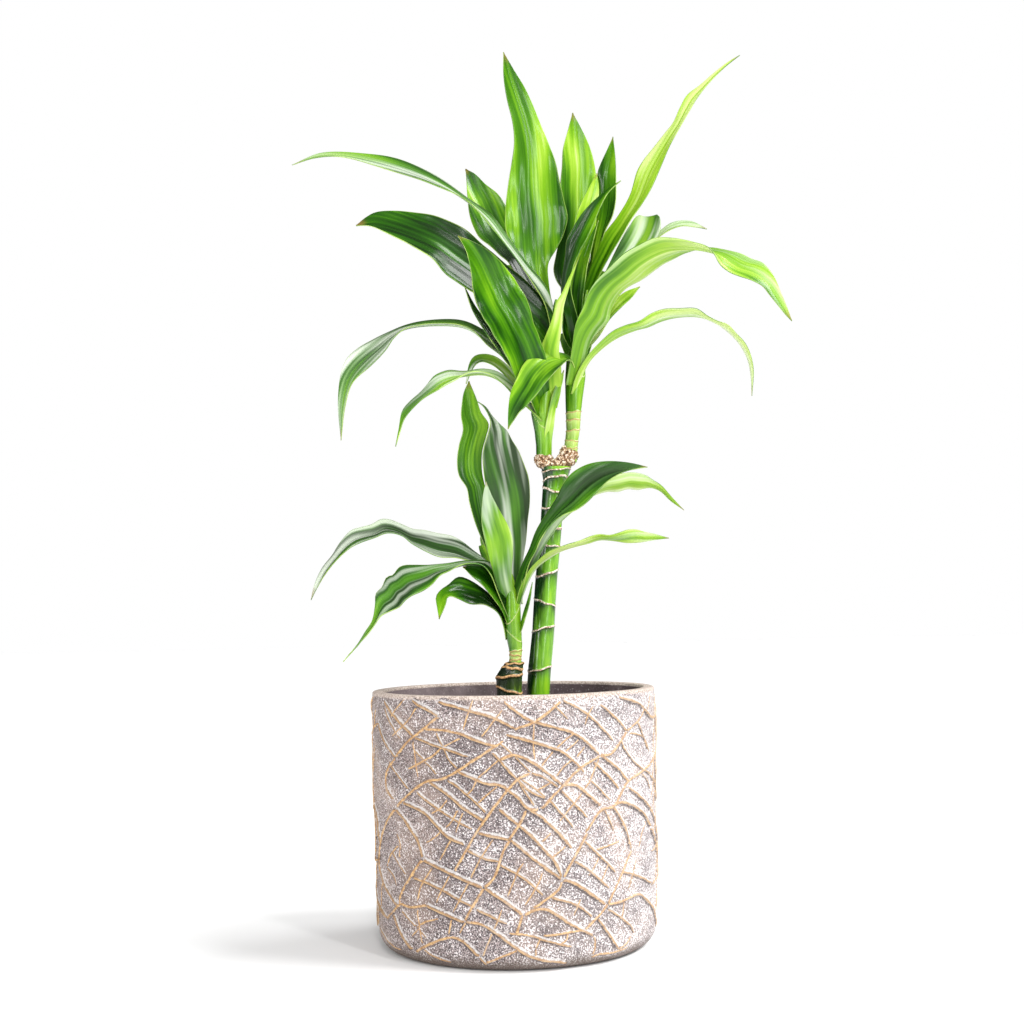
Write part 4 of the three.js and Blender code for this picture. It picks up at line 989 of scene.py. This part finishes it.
def leaf(depth, width, widest, turn, waves, tone, dull, *edges):
    """A leaf seen in the photo: how far it lies behind the pot's axis, greatest width, where that lies, turn
    of its upper face from facing the front, its tone, how matt it is and how much painted sheen it bears,
    and its two edges from root to tip in photo pixels. The tone goes from 0, deep green, to 1, lime, and is
    given for the root, the middle and the tip, and then how much it rises towards the second edge; it is
    partly the leaf's own green and partly painted light and shade, and the rise paints one half of the leaf
    lighter as painted light."""
    return dict(depth=depth, width=width, widest=widest, turn=turn, waves=waves, tone=tone, dull=dull,
                lines=edges)


def hidden_leaf(midrib, width, widest, turn, waves, tone, dull):
    """A leaf that is hidden or nearly so, by its midrib from inside the stem to the tip."""
    return dict(width=width, widest=widest, turn=turn, waves=waves, tone=tone, dull=dull, lines=[midrib])


LEFT_CROWN_LEAVES = [
    leaf((3, 5, 7, 8, 8, 7, 4), 35, 0.4, (30, 10, 5, 10, 25), 3, (0.30, 0.62, 0.74, -0.02), 0.1,
         [(545, 336), (540, 300), (529, 272), (514, 250), (506, 232), (505.3, 212), (508, 186), (512, 160),
          (514, 143), (512.5, 122), (506.6, 97), (503.5, 75), (503.5, 52)],
         [(558, 332), (549, 285), (548, 264.5), (557, 248), (563, 236), (568, 217), (564, 198), (560, 183),
          (553.5, 157), (538, 117), (526, 90), (514, 70), (503.5, 52)]),
    leaf((2, -5, -9, -10, -8, -2, 8, 22, 42), 20, 0.3, (40, 55, 84, 66, 60, 55),
         1, (0.50, 0.50, 0.50, -0.08), 0.55,
         [(552, 337), (545, 305), (530, 280), (508, 247), (493, 228), (467, 199), (433, 183), (393, 171),
          (342, 157), (315, 158), (292, 165)],
         [(558, 334), (548, 290), (529, 264), (510, 238), (493, 214), (467, 196.5), (436, 176), (400, 160),
          (369, 154.5), (321, 153), (292, 165)]),
    leaf((0, -10, -17, -23, -27, -28, -26), 32, 0.5, (40, 25, 30, 45, 55), 2, (0.28, 0.18, 0.26, -0.03),
         0.15,
         [(550, 350), (520, 330), (495, 308), (472.5, 291), (450, 275), (431, 258), (410, 246),
          (386.5, 233), (370, 226), (356, 225.6)],
         [(560, 340), (553, 313), (530, 285), (508, 264), (490, 249), (471, 234.6), (450, 223),
          (421, 213.6), (395, 210.5), (376, 212), (365, 218), (356, 225.6)]),
    leaf((6, 14, 22, 29, 35), 24, 0.5, (40, 35, 30, 30, 40), 2, (0.10, 0.25, 0.34, 0.03), 0.2,
         [(550, 325), (530, 300), (508, 262), (500, 256), (488, 246), (478, 236), (470, 215), (467.4, 195),
          (466.5, 180), (465.6, 169)],
         [(561, 323), (545, 290), (530, 262), (517, 228), (505, 203.6), (497, 193), (486, 185), (475, 174),
          (465.6, 169)]),
    leaf((0, -14, -24, -30, -34, -40, -48), 31, 0.55, (30, 20, 20, 15, 5), 3, (0.42, 0.44, 0.56, 0.03), 0.0,
         [(538, 418), (528, 395), (516, 380), (507, 358), (501, 345), (490, 328), (480, 314), (474, 295),
          (472, 276.6), (466, 250.6), (461, 241), (458, 235.7)],
         [(550, 404), (548, 370), (541, 340), (532, 317), (528, 305), (522, 292), (514, 277), (505, 266),
          (490, 252), (474, 242), (458, 235.7)]),
    leaf((2, -2, -4, -4, -1, 5, 12, 19, 27, 36), 20, 0.5, (60, 65, 62, 50, 35, 30),
         2, (0.55, 0.50, 0.45, -0.12), 0.9,
         [(540, 406), (522, 382), (510, 365), (500, 354), (487, 344), (473, 331), (458, 325.5), (435, 325),
          (415, 326), (404, 329), (393, 338), (385, 349), (370, 366), (352.5, 383), (345, 408),
          (341, 440.5)],
         [(546, 403), (530, 380), (515, 358), (503, 346), (485, 332), (467, 323), (450, 320), (427, 319.5),
          (402, 325), (385, 332.5), (372, 340), (357, 349), (347, 359), (341, 375), (338, 405),
          (341, 440.5)]),
    leaf((0, -8, -16, -24, -32, -40, -46, -50, -53), 20, 0.5, (60, 65, 62, 40, 35),
         2, (0.7, 0.6, 0.8, -0.1), 0.6,
         [(542, 421), (528, 408), (515, 396), (505, 385), (497, 379), (485, 373.5), (470, 374), (455, 380),
          (440, 387.5), (427, 395), (412, 409), (404, 420), (400, 432), (395.5, 446.5)],
         [(546, 416), (530, 402), (520, 390), (508, 380), (497, 372.5), (485, 370), (462, 370), (447, 369),
          (435, 374), (427, 385), (421, 392), (410, 402), (402.5, 411), (398.7, 430), (395.5, 446.5)]),
    leaf((4, 12, 20, 26, 30, 31), 11, 0.5, (60, 110, 125, 60), 1, (0.75, 0.85, 0.75, 0), 0.8,
         [(543, 410), (525, 395), (508, 378), (498, 369), (490, 364), (482, 362), (477, 364), (472, 370),
          (469, 377), (466, 384)],
         [(547, 409), (530, 392), (515, 375), (505, 364), (495, 357), (483, 354.5), (475, 356), (470, 362),
          (467, 375), (466, 384)]),
    leaf((3, -6, -14, -20, -22), 13, 0.25, (180, 180, 170, 150), 0, (0.75, 1.0, 1.1, 0), 0.1,
         [(557, 408), (561, 389), (561, 365), (559, 350), (560, 340), (562, 325), (563, 312), (566, 298),
          (570, 285), (573, 275), (578, 260)],
         [(545, 408), (540, 389), (538, 365), (540, 350), (545, 337), (550, 325), (554, 312), (556, 303),
          (562, 293), (568, 280), (578, 260)]),
    hidden_leaf([(20, 1, 298), (5, -6, 318), (-9, -12, 339), (-18, -15, 353), (-23, -16, 366)],
                11, 0.5, (60, 55, 50), 1, (0.3, 0.3, 0.3, 0), 0.2),
    leaf((2, -1, -3.5, -3, -2), 5.5, 0.5, (20, 30, 20), 0, (0.95, 1.15, 1.0, 0.1), 0.3,
         [(547, 456), (545, 441), (545, 428), (548, 412), (552, 396), (558, 380), (564, 370)],
         [(551, 456), (552, 440), (554, 425), (556, 408), (560, 392), (563, 380), (564, 370)]),
    hidden_leaf([(26, 4, 338), (14, 26, 364), (0, 52, 384), (-14, 76, 384)], 26, 0.5, (20, 0, -10),
                2, (0.4, 0.5, 0.5, 0), 0.2),
    hidden_leaf([(22, 4, 304), (16, 24, 332), (10, 48, 350), (6, 72, 346), (6, 88, 330)],
                22, 0.5, (0, 0, 10, 10), 2, (0.4, 0.5, 0.5, 0), 0.2),
]

RIGHT_CROWN_LEAVES = [
    leaf((8, 15, 20, 23, 24), 21, 0.6, (10, 10, 15, 20), 2, (0.50, 0.44, 0.56, 0.04), 0.1,
         [(572, 330), (563, 292), (556, 280), (553.5, 270), (556, 255), (559, 240), (560, 215), (560, 185),
          (562, 165), (563, 149), (568, 130), (572.7, 112.7)],
         [(586, 320), (588, 280), (592, 240), (596, 205), (596, 185), (595.7, 170), (590, 147), (581, 128),
          (572.7, 112.7)]),
    leaf((9, 15, 20, 24, 27), 17, 0.5, (-30, -45, -45, -40), 2, (0.42, 0.75, 0.72, 0), 0.1,
         [(578, 320), (584, 300), (588, 270), (592, 245), (596, 225), (598, 200), (597.5, 172.5),
          (600, 165), (607, 150), (613, 136.6)],
         [(588, 320), (590, 300), (597, 270), (601, 250), (607, 228), (612.5, 215), (615, 200), (616, 185),
          (615.5, 160), (613, 136.6)]),
    leaf((6, 7, 9, 11, 14, 20, 32), 17, 0.45, (-35, -45, -45, -40, -50), 1, (0.70, 1.08, 1.15, 0.08), 0.0,
         [(577, 328), (582, 300), (590, 270), (598, 250), (604.5, 235), (617, 218), (630, 195), (637, 171),
          (643, 160), (653, 147), (665, 132), (673, 122), (680, 107), (687, 95), (700, 85), (715, 72),
          (728, 62), (740, 55)],
         [(587, 330), (592, 295), (598, 279), (610, 255), (620, 238), (630, 220), (640, 205), (650, 188),
          (660, 167), (670, 145), (680, 127), (690, 110), (698, 97), (710, 82), (725, 67), (740, 55)]),
    leaf((2, -8, -18, -27, -34, -40, -44, -46, -46, -43), 28, 0.45, (-150, -135, -120, -95, -60, -50, -50),
         2, (0.66, 0.84, 0.92, -0.10), 0.4,
         [(583, 385), (585, 365), (590, 343), (600, 330), (609, 322), (612, 310), (617, 300), (626, 290),
          (640, 281), (652, 270), (662, 262.5), (672, 257.5), (685, 250.5), (704, 247.5), (722, 250),
          (740, 254.5), (751, 260), (763, 264), (773, 275), (780, 290), (787, 307), (792, 321)],
         [(566, 385), (572, 350), (576, 325), (583, 308), (590, 290), (598, 277), (608, 266), (622, 253),
          (637, 244), (652, 238.5), (672, 240), (690, 243), (708, 249), (714, 256), (720, 265), (730, 272),
          (740, 276), (752, 280), (763, 286), (770, 295), (778, 305), (786, 315), (792, 321)]),
    leaf((2, -3, -4, -3, 1, 7, 14, 22, 30, 37, 43), 14, 0.5, (-120, -130, -130, -120, -100, -80),
         2, (1.15, 1.15, 1.2, 0), 0.5,
         [(578, 394), (581, 380), (590, 361), (605, 346), (620, 336), (635, 330.5), (648, 327.5),
          (660, 322.5), (675, 319), (695, 317), (712, 321), (724, 328), (733, 336), (741, 346), (748, 360),
          (751, 376), (752, 396)],
         [(571, 394), (576, 376), (586, 358), (597, 345), (612, 332), (625, 326), (640, 321.5), (652, 314),
          (665, 309), (680, 308), (697, 308), (708, 315), (718, 320.5), (728, 324.5), (736, 333),
          (745, 343), (750.5, 355), (753.5, 370), (752, 396)]),
    leaf((9, 24, 38, 52, 62, 72), 20, 0.6, (0, 0, 0, 0), 1, (0.70, 0.68, 0.70, 0.10), 0.65,
         [(577, 332), (592, 300), (607, 268), (618, 245), (629, 226), (638, 215.5), (643, 217), (647, 228)],
         [(589, 337), (612, 300), (634, 268), (652, 248), (660, 232), (659, 216), (655, 215), (647, 228)]),
    leaf((10, 40, 56, 58, 58, 58), 8, 0.8, (-50, -50, -60, -50), 0, (0.80, 0.72, 0.80, 0.05), 0.5,
         [(580, 331), (612, 280), (645, 243), (662, 230), (670, 224), (680, 221), (692, 221.5), (700, 225),
          (707, 229)],
         [(584, 330), (620, 280), (650, 245), (668, 231), (682, 226), (695, 227), (707, 229)]),
    leaf((2, -6, -12, -17, -22, -27, -32), 15, 0.5, (-10, -15, -20, -40, -60), 1, (0.30, 0.38, 0.62, 0.05),
         0.1,
         [(573, 352), (566, 320), (561, 295), (562, 275), (565, 255), (567, 240), (573, 228), (582, 214),
          (593, 202), (604, 192), (612, 186), (621, 180.5)],
         [(583, 350), (578, 320), (571, 290), (573, 270), (580, 252), (588, 238), (593, 226), (600, 208),
          (608, 193), (621, 180.5)]),
    leaf((4, 2, 1, 0, 0), 12, 0.6, (20, 20, 20), 1, (0.60, 0.85, 0.92, 0.08), 0.0,
         [(572, 335), (570, 305), (568, 280), (572, 245), (576, 217), (582.5, 200), (590, 185), (597, 173)],
         [(583, 331), (582, 305), (585, 280), (589, 255), (595, 230), (597, 210), (599, 190), (597, 173)]),
    hidden_leaf([(42, 2, 334), (41, -3, 356), (44, -5, 377), (49, -5, 392), (54, -4, 405)],
                8, 0.5, (-20, -30, -30), 1, (0.3, 0.3, 0.4, 0), 0.1),
    leaf((3, 0, -2, -3, -3), 12, 0.55, (30, 40, 40), 0, (0.35, 0.1, 0.1, 0), 0.0,
         [(572, 352), (563, 335), (562, 318), (564, 305), (568, 295)],
         [(580, 350), (576, 335), (573, 320), (571, 305), (568, 295)]),
    leaf((6, 9, 12, 15), 9, 0.6, (-50, -60, -60), 1, (1.0, 1.2, 1.05, 0), 0.2,
         [(577, 355), (590, 335), (603, 318), (613, 302), (625, 292), (640, 286.5)],
         [(581, 355), (598, 338), (612, 316), (622, 306), (632, 297), (640, 286.5)]),
    leaf((2, -10, -22, -31, -36, -38), 19, 0.55, (60, 35, 30, 30, 30), 1, (0.55, 0.53, 0.62, 0.05), 0.2,
         [(577, 374), (570, 360), (560, 367), (552, 375), (543, 385.5), (535, 395), (526, 406),
          (520, 411.5), (514, 420), (508, 429)],
         [(575, 364), (570, 356), (555, 351.5), (540, 350), (530, 356), (523, 364), (517, 378), (511, 392),
          (508.5, 408), (508, 418), (508, 429)]),
    hidden_leaf([(44, 8, 342), (53, 34, 370), (60, 62, 380), (64, 86, 366)], 26, 0.5, (-10, 0, 10),
                2, (0.4, 0.5, 0.5, 0), 0.2),
    hidden_leaf([(40, 6, 316), (41, 26, 338), (42, 50, 344), (44, 70, 332)], 20, 0.5, (10, 0, 0),
                2, (0.4, 0.5, 0.5, 0), 0.2),
]

SIDE_SHOOT_LEAVES = [
    leaf((-4, 1, 1, -1, -3, -5, -7, -8), 16, 0.6, (30, 25, 15, 20, 30), 2, (0.46, 0.52, 0.80, -0.06), 0.18,
         [(507, 610), (498, 580), (490, 557), (481, 538), (474, 520), (469.5, 503), (467, 488),
          (459.5, 476), (457.5, 461), (459, 446), (463, 430), (461, 416), (462, 403), (464, 392),
          (469, 381)],
         [(517, 608), (508, 580), (498, 545), (490, 515), (486, 490), (482, 470), (482, 452), (486, 436),
          (488.5, 424), (481, 412), (477, 400), (473, 390), (469, 381)]),
    leaf((-4, 1, 1, 0, -3, -8, -13, -20), 26, 0.6, (0, 0, 5, 10, 30), 2, (0.36, 0.02, 0.12, 0), 0.75,
         [(506, 604), (508, 585), (505, 560), (499, 530), (492, 505), (486, 485), (483.5, 470),
          (482.5, 455), (485, 442), (489, 430), (490.5, 421), (487, 412), (483, 406), (477.5, 401.5)],
         [(523, 604), (521, 580), (523, 560), (526, 540), (528, 520), (530, 503), (530, 490), (528, 476),
          (523, 462), (518, 450), (512, 440), (507, 430.5), (500, 424), (492.5, 416), (486, 407),
          (477.5, 401.5)]),
    leaf((-5, -12, -16, -20, -24), 18, 0.45, (10, 5, 10), 1, (0.42, 0.74, 0.74, 0.1), 0.5,
         [(506, 612), (498, 590), (493, 572), (489, 558), (485, 541), (482, 526), (481.5, 512), (483, 495),
          (486, 481.5)],
         [(518, 610), (513, 590), (511.5, 572), (513, 552), (512.5, 538), (508, 525), (500, 511),
          (493, 498), (486, 481.5)]),
    leaf((-4, -3, -5, -6, -3, 3, 10, 18, 27, 36), 20, 0.5, (60, 45, 40, 55, 50, 50),
         2, (0.30, 0.35, 0.55, 0.05), 0.6,
         [(509, 615), (498, 592), (488, 575), (478, 564), (463, 559.5), (455, 557.5), (440, 556),
          (425, 550), (412, 542.5), (403, 536), (387, 534), (375, 538.5), (362, 543), (350, 548.5),
          (338, 558.5), (326, 573), (317, 588), (311, 600)],
         [(516, 614), (505, 590), (495, 572), (487, 561), (475, 551), (463, 541), (452, 535.5), (438, 533),
          (425, 530.5), (412, 530), (400, 525), (391, 521), (382, 520), (372, 525), (362, 527), (351, 530),
          (340, 542), (332, 555), (322, 568), (314, 586), (311, 600)]),
    leaf((-5, -9, -15, -22, -29, -36, -42, -46, -49), 22, 0.55, (60, 65, 50, 30, 55),
         2, (0.10, 0.38, 0.42, -0.1), 0.42,
         [(510, 622), (500, 598), (490, 575), (482, 566), (470, 564), (460, 566), (450, 570), (440, 574),
          (432, 583), (425, 588), (412, 595), (405, 601), (400, 607), (392, 611), (382, 616), (375, 625),
          (368, 634), (355, 648), (343, 662)],
         [(516, 617), (506, 592), (497, 570), (490, 562), (475, 560), (460, 560), (445, 562.5), (430, 564),
          (415, 565), (400, 568), (393, 576), (387, 578), (382, 588), (376, 594), (375, 606), (372, 621),
          (365, 632), (357, 645), (347, 657), (343, 662)]),
    leaf((-5, -9, -15, -21, -28, -34), 23, 0.5, (30, 20, 20, 30), 1, (0.42, 0.15, 0.6, 0), 0.1,
         [(506, 640), (503, 625), (497, 612), (485, 604.5), (472, 603.5), (460, 599), (450, 596),
          (447, 598), (446, 603), (443, 611), (439, 619)],
         [(512, 632), (505, 612), (494, 598), (482, 587), (470, 580), (458, 577), (448, 585), (440, 591),
          (436, 597), (437, 607), (439, 619)]),
    leaf((-5, -11, -17, -20), 14, 0.5, (40, 40, 50), 0, (0.12, 0.25, 0.22, -0.1), 0.0,
         [(509, 630), (503, 612), (493, 597), (482, 584), (472, 576), (463, 567)],
         [(516, 625), (508, 600), (498, 580), (488, 565), (478, 562), (463, 567)]),
    leaf((-5, -14, -21, -27, -32, -36, -40, -44), 20, 0.55, (-30, -40, -42, -45, -55),
         1, (0.48, 0.40, 0.52, 0), 0.22,
         [(510, 600), (517, 578), (523, 562), (529, 550), (537, 531), (550, 510), (558, 497), (565, 483),
          (573, 472.5), (585, 465), (596, 462), (612, 461), (625, 462), (636, 464), (647.5, 467)],
         [(520, 603), (525, 580), (530, 563), (536, 552), (541, 540), (551, 525), (563, 515), (576, 509),
          (587, 501), (596, 492), (606, 482), (617, 475), (628, 470.5), (638, 468.5), (647.5, 467)]),
    leaf((-5, -11, -14, -14, -11, -6, 1, 12), 14, 0.6, (-100, -125, -130, -130, -110),
         2, (0.5, 0.85, 0.92, -0.05), 0.5,
         [(519, 602), (530, 575), (545, 546), (562, 522), (580, 505), (593, 495), (606, 491), (618, 491.5),
          (628, 489), (638, 490), (650, 488), (660, 491), (671, 501), (684, 510)],
         [(516, 603), (524, 575), (538, 545), (555, 518), (575, 500), (592, 486), (608, 478), (630, 473),
          (645, 475), (653, 480), (661, 485), (671, 496), (684, 510)]),
    leaf((-5, -12, -16, -19, -20, -20, -18, -15), 11, 0.6, (-100, -120, -125, -125, -110),
         2, (0.75, 0.9, 0.8, -0.08), 0.5,
         [(519, 608), (526, 588), (535, 570), (546, 560), (557, 553), (570, 548), (580, 545.5), (589, 544),
          (600, 540.5), (615, 541), (628, 542.5), (641, 542), (653, 540), (669, 538)],
         [(515, 609), (521, 585), (530, 568), (540, 558), (552, 550.5), (565, 546), (578, 542),
          (590, 536.5), (600, 534), (610, 534.5), (620, 532), (628, 529.5), (637, 529.5), (645, 532),
          (655, 534), (669, 538)]),
    hidden_leaf([(3, -6, 166), (7, -9, 179), (10, -9, 189), (12, -8, 199)], 4, 0.5, (-60, -60, -60),
                0, (0.5, 0.5, 0.5, 0), 0.2),
    hidden_leaf([(0, -4, 186), (-6, 20, 214), (-12, 45, 226), (-16, 68, 216)], 20, 0.5, (10, 0, 0),
                2, (0.4, 0.4, 0.4, 0), 0.2),
]


def leaf_outline(t, widest):
    """Share of the greatest width at t from root to tip."""
    foot = 0.38 + 0.62 * np.sin(QUARTER_TURN * np.clip(t / widest, 0, 1)) ** 1.6
    s = np.clip((t - widest) / (1 - widest), 0, 1)
    return np.where(t < widest, foot, (1 - s ** 1.5) ** 1.15)


def eased(values, count):
    """Evenly spread values as a smooth run of count values."""
    return smooth_path([(EASE_SPACING * k, value) for k, value in enumerate(values)], count)[0][:, 1]


def leaf_points(spec, number):
    """Rows of points over the leaf's width, from root to tip."""
    lines = spec["lines"]
    seen = len(lines) == 2
    length = sum(math.dist(a, b) for a, b in zip(lines[0], lines[0][1:])) / (PIXELS_PER_MM if seen else 1)
    rows = max(LEAF_FEWEST_ROWS, round(length / LEAF_ROW))
    t = np.linspace(0, 1, rows)
    turn = np.radians(eased(spec["turn"], rows))[:, None]
    half = np.maximum(TIP_HALF_WIDTH, spec["width"] / 2 * leaf_outline(t, spec["widest"]))[:, None]
    if seen:
        depth = eased(spec["depth"], rows)
        swing = (np.sin(turn) * half)[:, 0]
        edges = [photo_place(smooth_path(line, rows)[0], depth + side * swing)
                 for line, side in zip(lines, (-1, 1))]
        middle = (edges[0] + edges[1]) / 2
        reach = (edges[1] - edges[0]) / 2
        reach[-1] = reach[-2] * 0.3
        upper = unit(np.cross(reach, np.gradient(middle, axis=0)), 1e-9)
        half = np.linalg.norm(reach, axis=1, keepdims=True)
    else:
        middle, way = smooth_path(lines[0], rows)
        front = unit(np.array([0, -1, 0]) + way * way[:, 1:2])
        upper = front * np.cos(turn) + np.cross(way, front) * np.sin(turn)
        reach = np.cross(way, upper) * half
    v = np.linspace(-1, 1, LEAF_COLUMNS)[None, :]
    phase = 6 * chance(number + 900) + np.where(v > 0, 1.5, 0)
    calm = np.sin(math.pi * t)[:, None]
    wave = np.sin(FULL_TURN * spec["waves"] * t[:, None] + phase) * calm
    ripple = np.sin(FULL_TURN * (3.1 * spec["waves"] + 1) * t[:, None] + 2.3 * phase) * calm
    fold = LEAF_FOLD * (np.abs(v) ** 1.2 - (1 if seen else 0))
    lift = half * (fold + (LEAF_WAVE * wave + LEAF_RIPPLE * ripple) * v ** 2)
    pleat = np.cos(v * half * PLEATS_PER_MM + 2.0 * np.sin(2.5 * t[:, None] + phase))
    lift = lift + LEAF_PLEAT * pleat * calm * (1 - v ** 4)
    points = middle[:, None, :] + reach[:, None, :] * v[:, :, None] + upper[:, None, :] * lift[:, :, None]
    return points, v


def make_leaf(spec, number):
    points, across = leaf_points(spec, number)
    # The tone is partly the leaf's own green and partly painted light and shade.
    tone = eased(spec["tone"][:3], len(points))[:, None] + spec["tone"][3] * across
    span = np.linalg.norm(points[:, -1] - points[:, 0], axis=1)[:, None] / 2
    values = {"tone": tone, "dull": spec["dull"], "span": span, "seed": chance(number + 70)}
    blade = skin("leaf", points, values, weld=False)
    for material in (LEAF_FACE, LEAF_BACK, LEAF_MARGIN):
        blade.data.materials.append(material)
    modify(blade, "SOLIDIFY", thickness=LEAF_THICKNESS * MM, offset=0.0, material_offset=1,
           material_offset_rim=2)
    return blade


# Sheaths as (height of the lowest point of the edge, angle it faces, rise to the back, thickness).
LEFT_SHEATHS = [(286.5, -1.3, 20, 0.5), (305, -2.2, 14, 0.4)]
RIGHT_SHEATHS = [(316, -0.8, 14, 0.4), (326, -2.4, 12, 0.4)]
SHOOT_SHEATHS = [(166, -0.5, 9, 0.3), (176, -2.4, 14, 0.4)]

for name, leaves, first, rows, rings, sheaths, slot in (
        ("left_crown", LEFT_CROWN_LEAVES, 0, LEFT_STEM, [], LEFT_SHEATHS, "leaf"),
        ("right_crown", RIGHT_CROWN_LEAVES, 100, RIGHT_STEM, RIGHT_RINGS, RIGHT_SHEATHS, "leaf"),
        ("side_shoot", SIDE_SHOOT_LEAVES, 200, SHOOT_STEM, SHOOT_RINGS, SHOOT_SHEATHS, "deep_leaf")):
    stem = make_stem(name + "_stem", rows, rings, sheaths, swell=0.35)
    crown = join([make_leaf(spec, first + k) for k, spec in enumerate(leaves)], name + "_leaves")
    settle(crown, slot, name)
    settle(stem, slot, name, STEM)

# ------------------------------------------------------------------ floor, light and camera

FLOOR_SIZE = 14
FLOOR_TONE = 0.86
# The world's light comes mostly from here, and is weaker in the object's reflections.
WORLD_LIGHT_SIDE = (0.72, -0.30, 0.62)
WORLD_REFLECTION_LOSS = 0.8
LAMP_AIM = (0, 0, 0.25)


def make_floor():
    deselect()
    bpy.ops.mesh.primitive_plane_add(size=FLOOR_SIZE)
    floor = bpy.context.object
    floor.name = "floor"
    tone = (FLOOR_TONE, FLOOR_TONE, FLOOR_TONE, 1)
    floor.data.materials.append(Finish("floor").done(Base_Color=tone, Roughness=0.9))


def make_world():
    """A white studio, seen white all round; its light comes mostly from the right, front and above."""
    world = bpy.data.worlds.new("studio")
    bpy.context.scene.world = world
    studio = Finish("studio", world)
    way = studio.node("ShaderNodeTexCoord", output="Generated")
    product = {"operation": "DOT_PRODUCT"}
    facing = studio.node("ShaderNodeVectorMath", product, [way, WORLD_LIGHT_SIDE], "Value")
    light = studio.step(facing, -0.5, 0.95, 0.10, 0.72)
    glossy = studio.node("ShaderNodeLightPath", output="Is Glossy Ray")
    strength = light * (1 - glossy * WORLD_REFLECTION_LOSS)
    camera = studio.node("ShaderNodeLightPath", output="Is Camera Ray")
    seen = studio.node("ShaderNodeMix", None, {"Factor": camera, "A": strength, "B": 1.0})
    white = studio.node("ShaderNodeBackground", None, {"Color": (1, 1, 1, 1), "Strength": seen})
    studio.finished(white, "ShaderNodeOutputWorld")


def lamp(kind, name, place, direction, power, **settings):
    bpy.ops.object.light_add(type=kind, location=place)
    made = bpy.context.object
    made.name = name
    made.data.energy = power
    for key, value in settings.items():
        setattr(made.data, key, value)
    made.rotation_euler = Vector(direction).to_track_quat("-Z", "Y").to_euler()


def make_lights():
    # Sun lamps: name, place, direction, strength, how many degrees wide they seem.
    for name, place, direction, strength, degrees in (
            ("key", (1.2, -0.6, 1.0), (-0.70, 0.18, -0.74), 2.4, 22),
            ("rear_light", (1.2, 0.6, 1.0), (-0.66, -0.28, -0.60), 1.4, 26)):
        lamp("SUN", name, place, direction, strength, angle=math.radians(degrees))
    # Softboxes: name, place, width, height, watts.
    for name, place, width, height, watts in (
            ("right_softbox", (0.66, -1.05, 0.62), 0.07, 1.1, 7),
            ("left_softbox", (-0.80, -1.00, 0.62), 0.07, 1.1, 7),
            ("top_softbox", (0.05, -1.10, 0.80), 0.14, 0.5, 4),
            ("left_fill", (-1.30, -0.45, 0.50), 0.60, 0.8, 5)):
        lamp("AREA", name, place, Vector(LAMP_AIM) - Vector(place), watts, shape="RECTANGLE",
             size=width, size_y=height)


def make_camera():
    """The photograph's view: 850 mm in front, 184 mm up, looking a little upwards."""
    pitch, roll = CAMERA_PITCH, CAMERA_ROLL
    right = Vector((1, 0, 0))
    up = Vector((0, -math.sin(pitch), math.cos(pitch)))
    forward = Vector((0, math.cos(pitch), math.sin(pitch)))
    across = right * math.cos(roll) - up * math.sin(roll)
    upright = right * math.sin(roll) + up * math.cos(roll)
    bpy.ops.object.camera_add()
    camera = bpy.context.object
    camera.data.sensor_width = CAMERA_SENSOR
    camera.data.lens = CAMERA_LENS
    turn = Matrix((across, upright, -forward)).transposed()
    camera.matrix_world = Matrix.Translation(Vector(CAMERA_PLACE) * MM) @ turn.to_4x4()
    bpy.context.scene.camera = camera


make_floor()
make_world()
make_lights()
make_camera()
bpy.context.scene.view_settings.view_transform = "Standard"
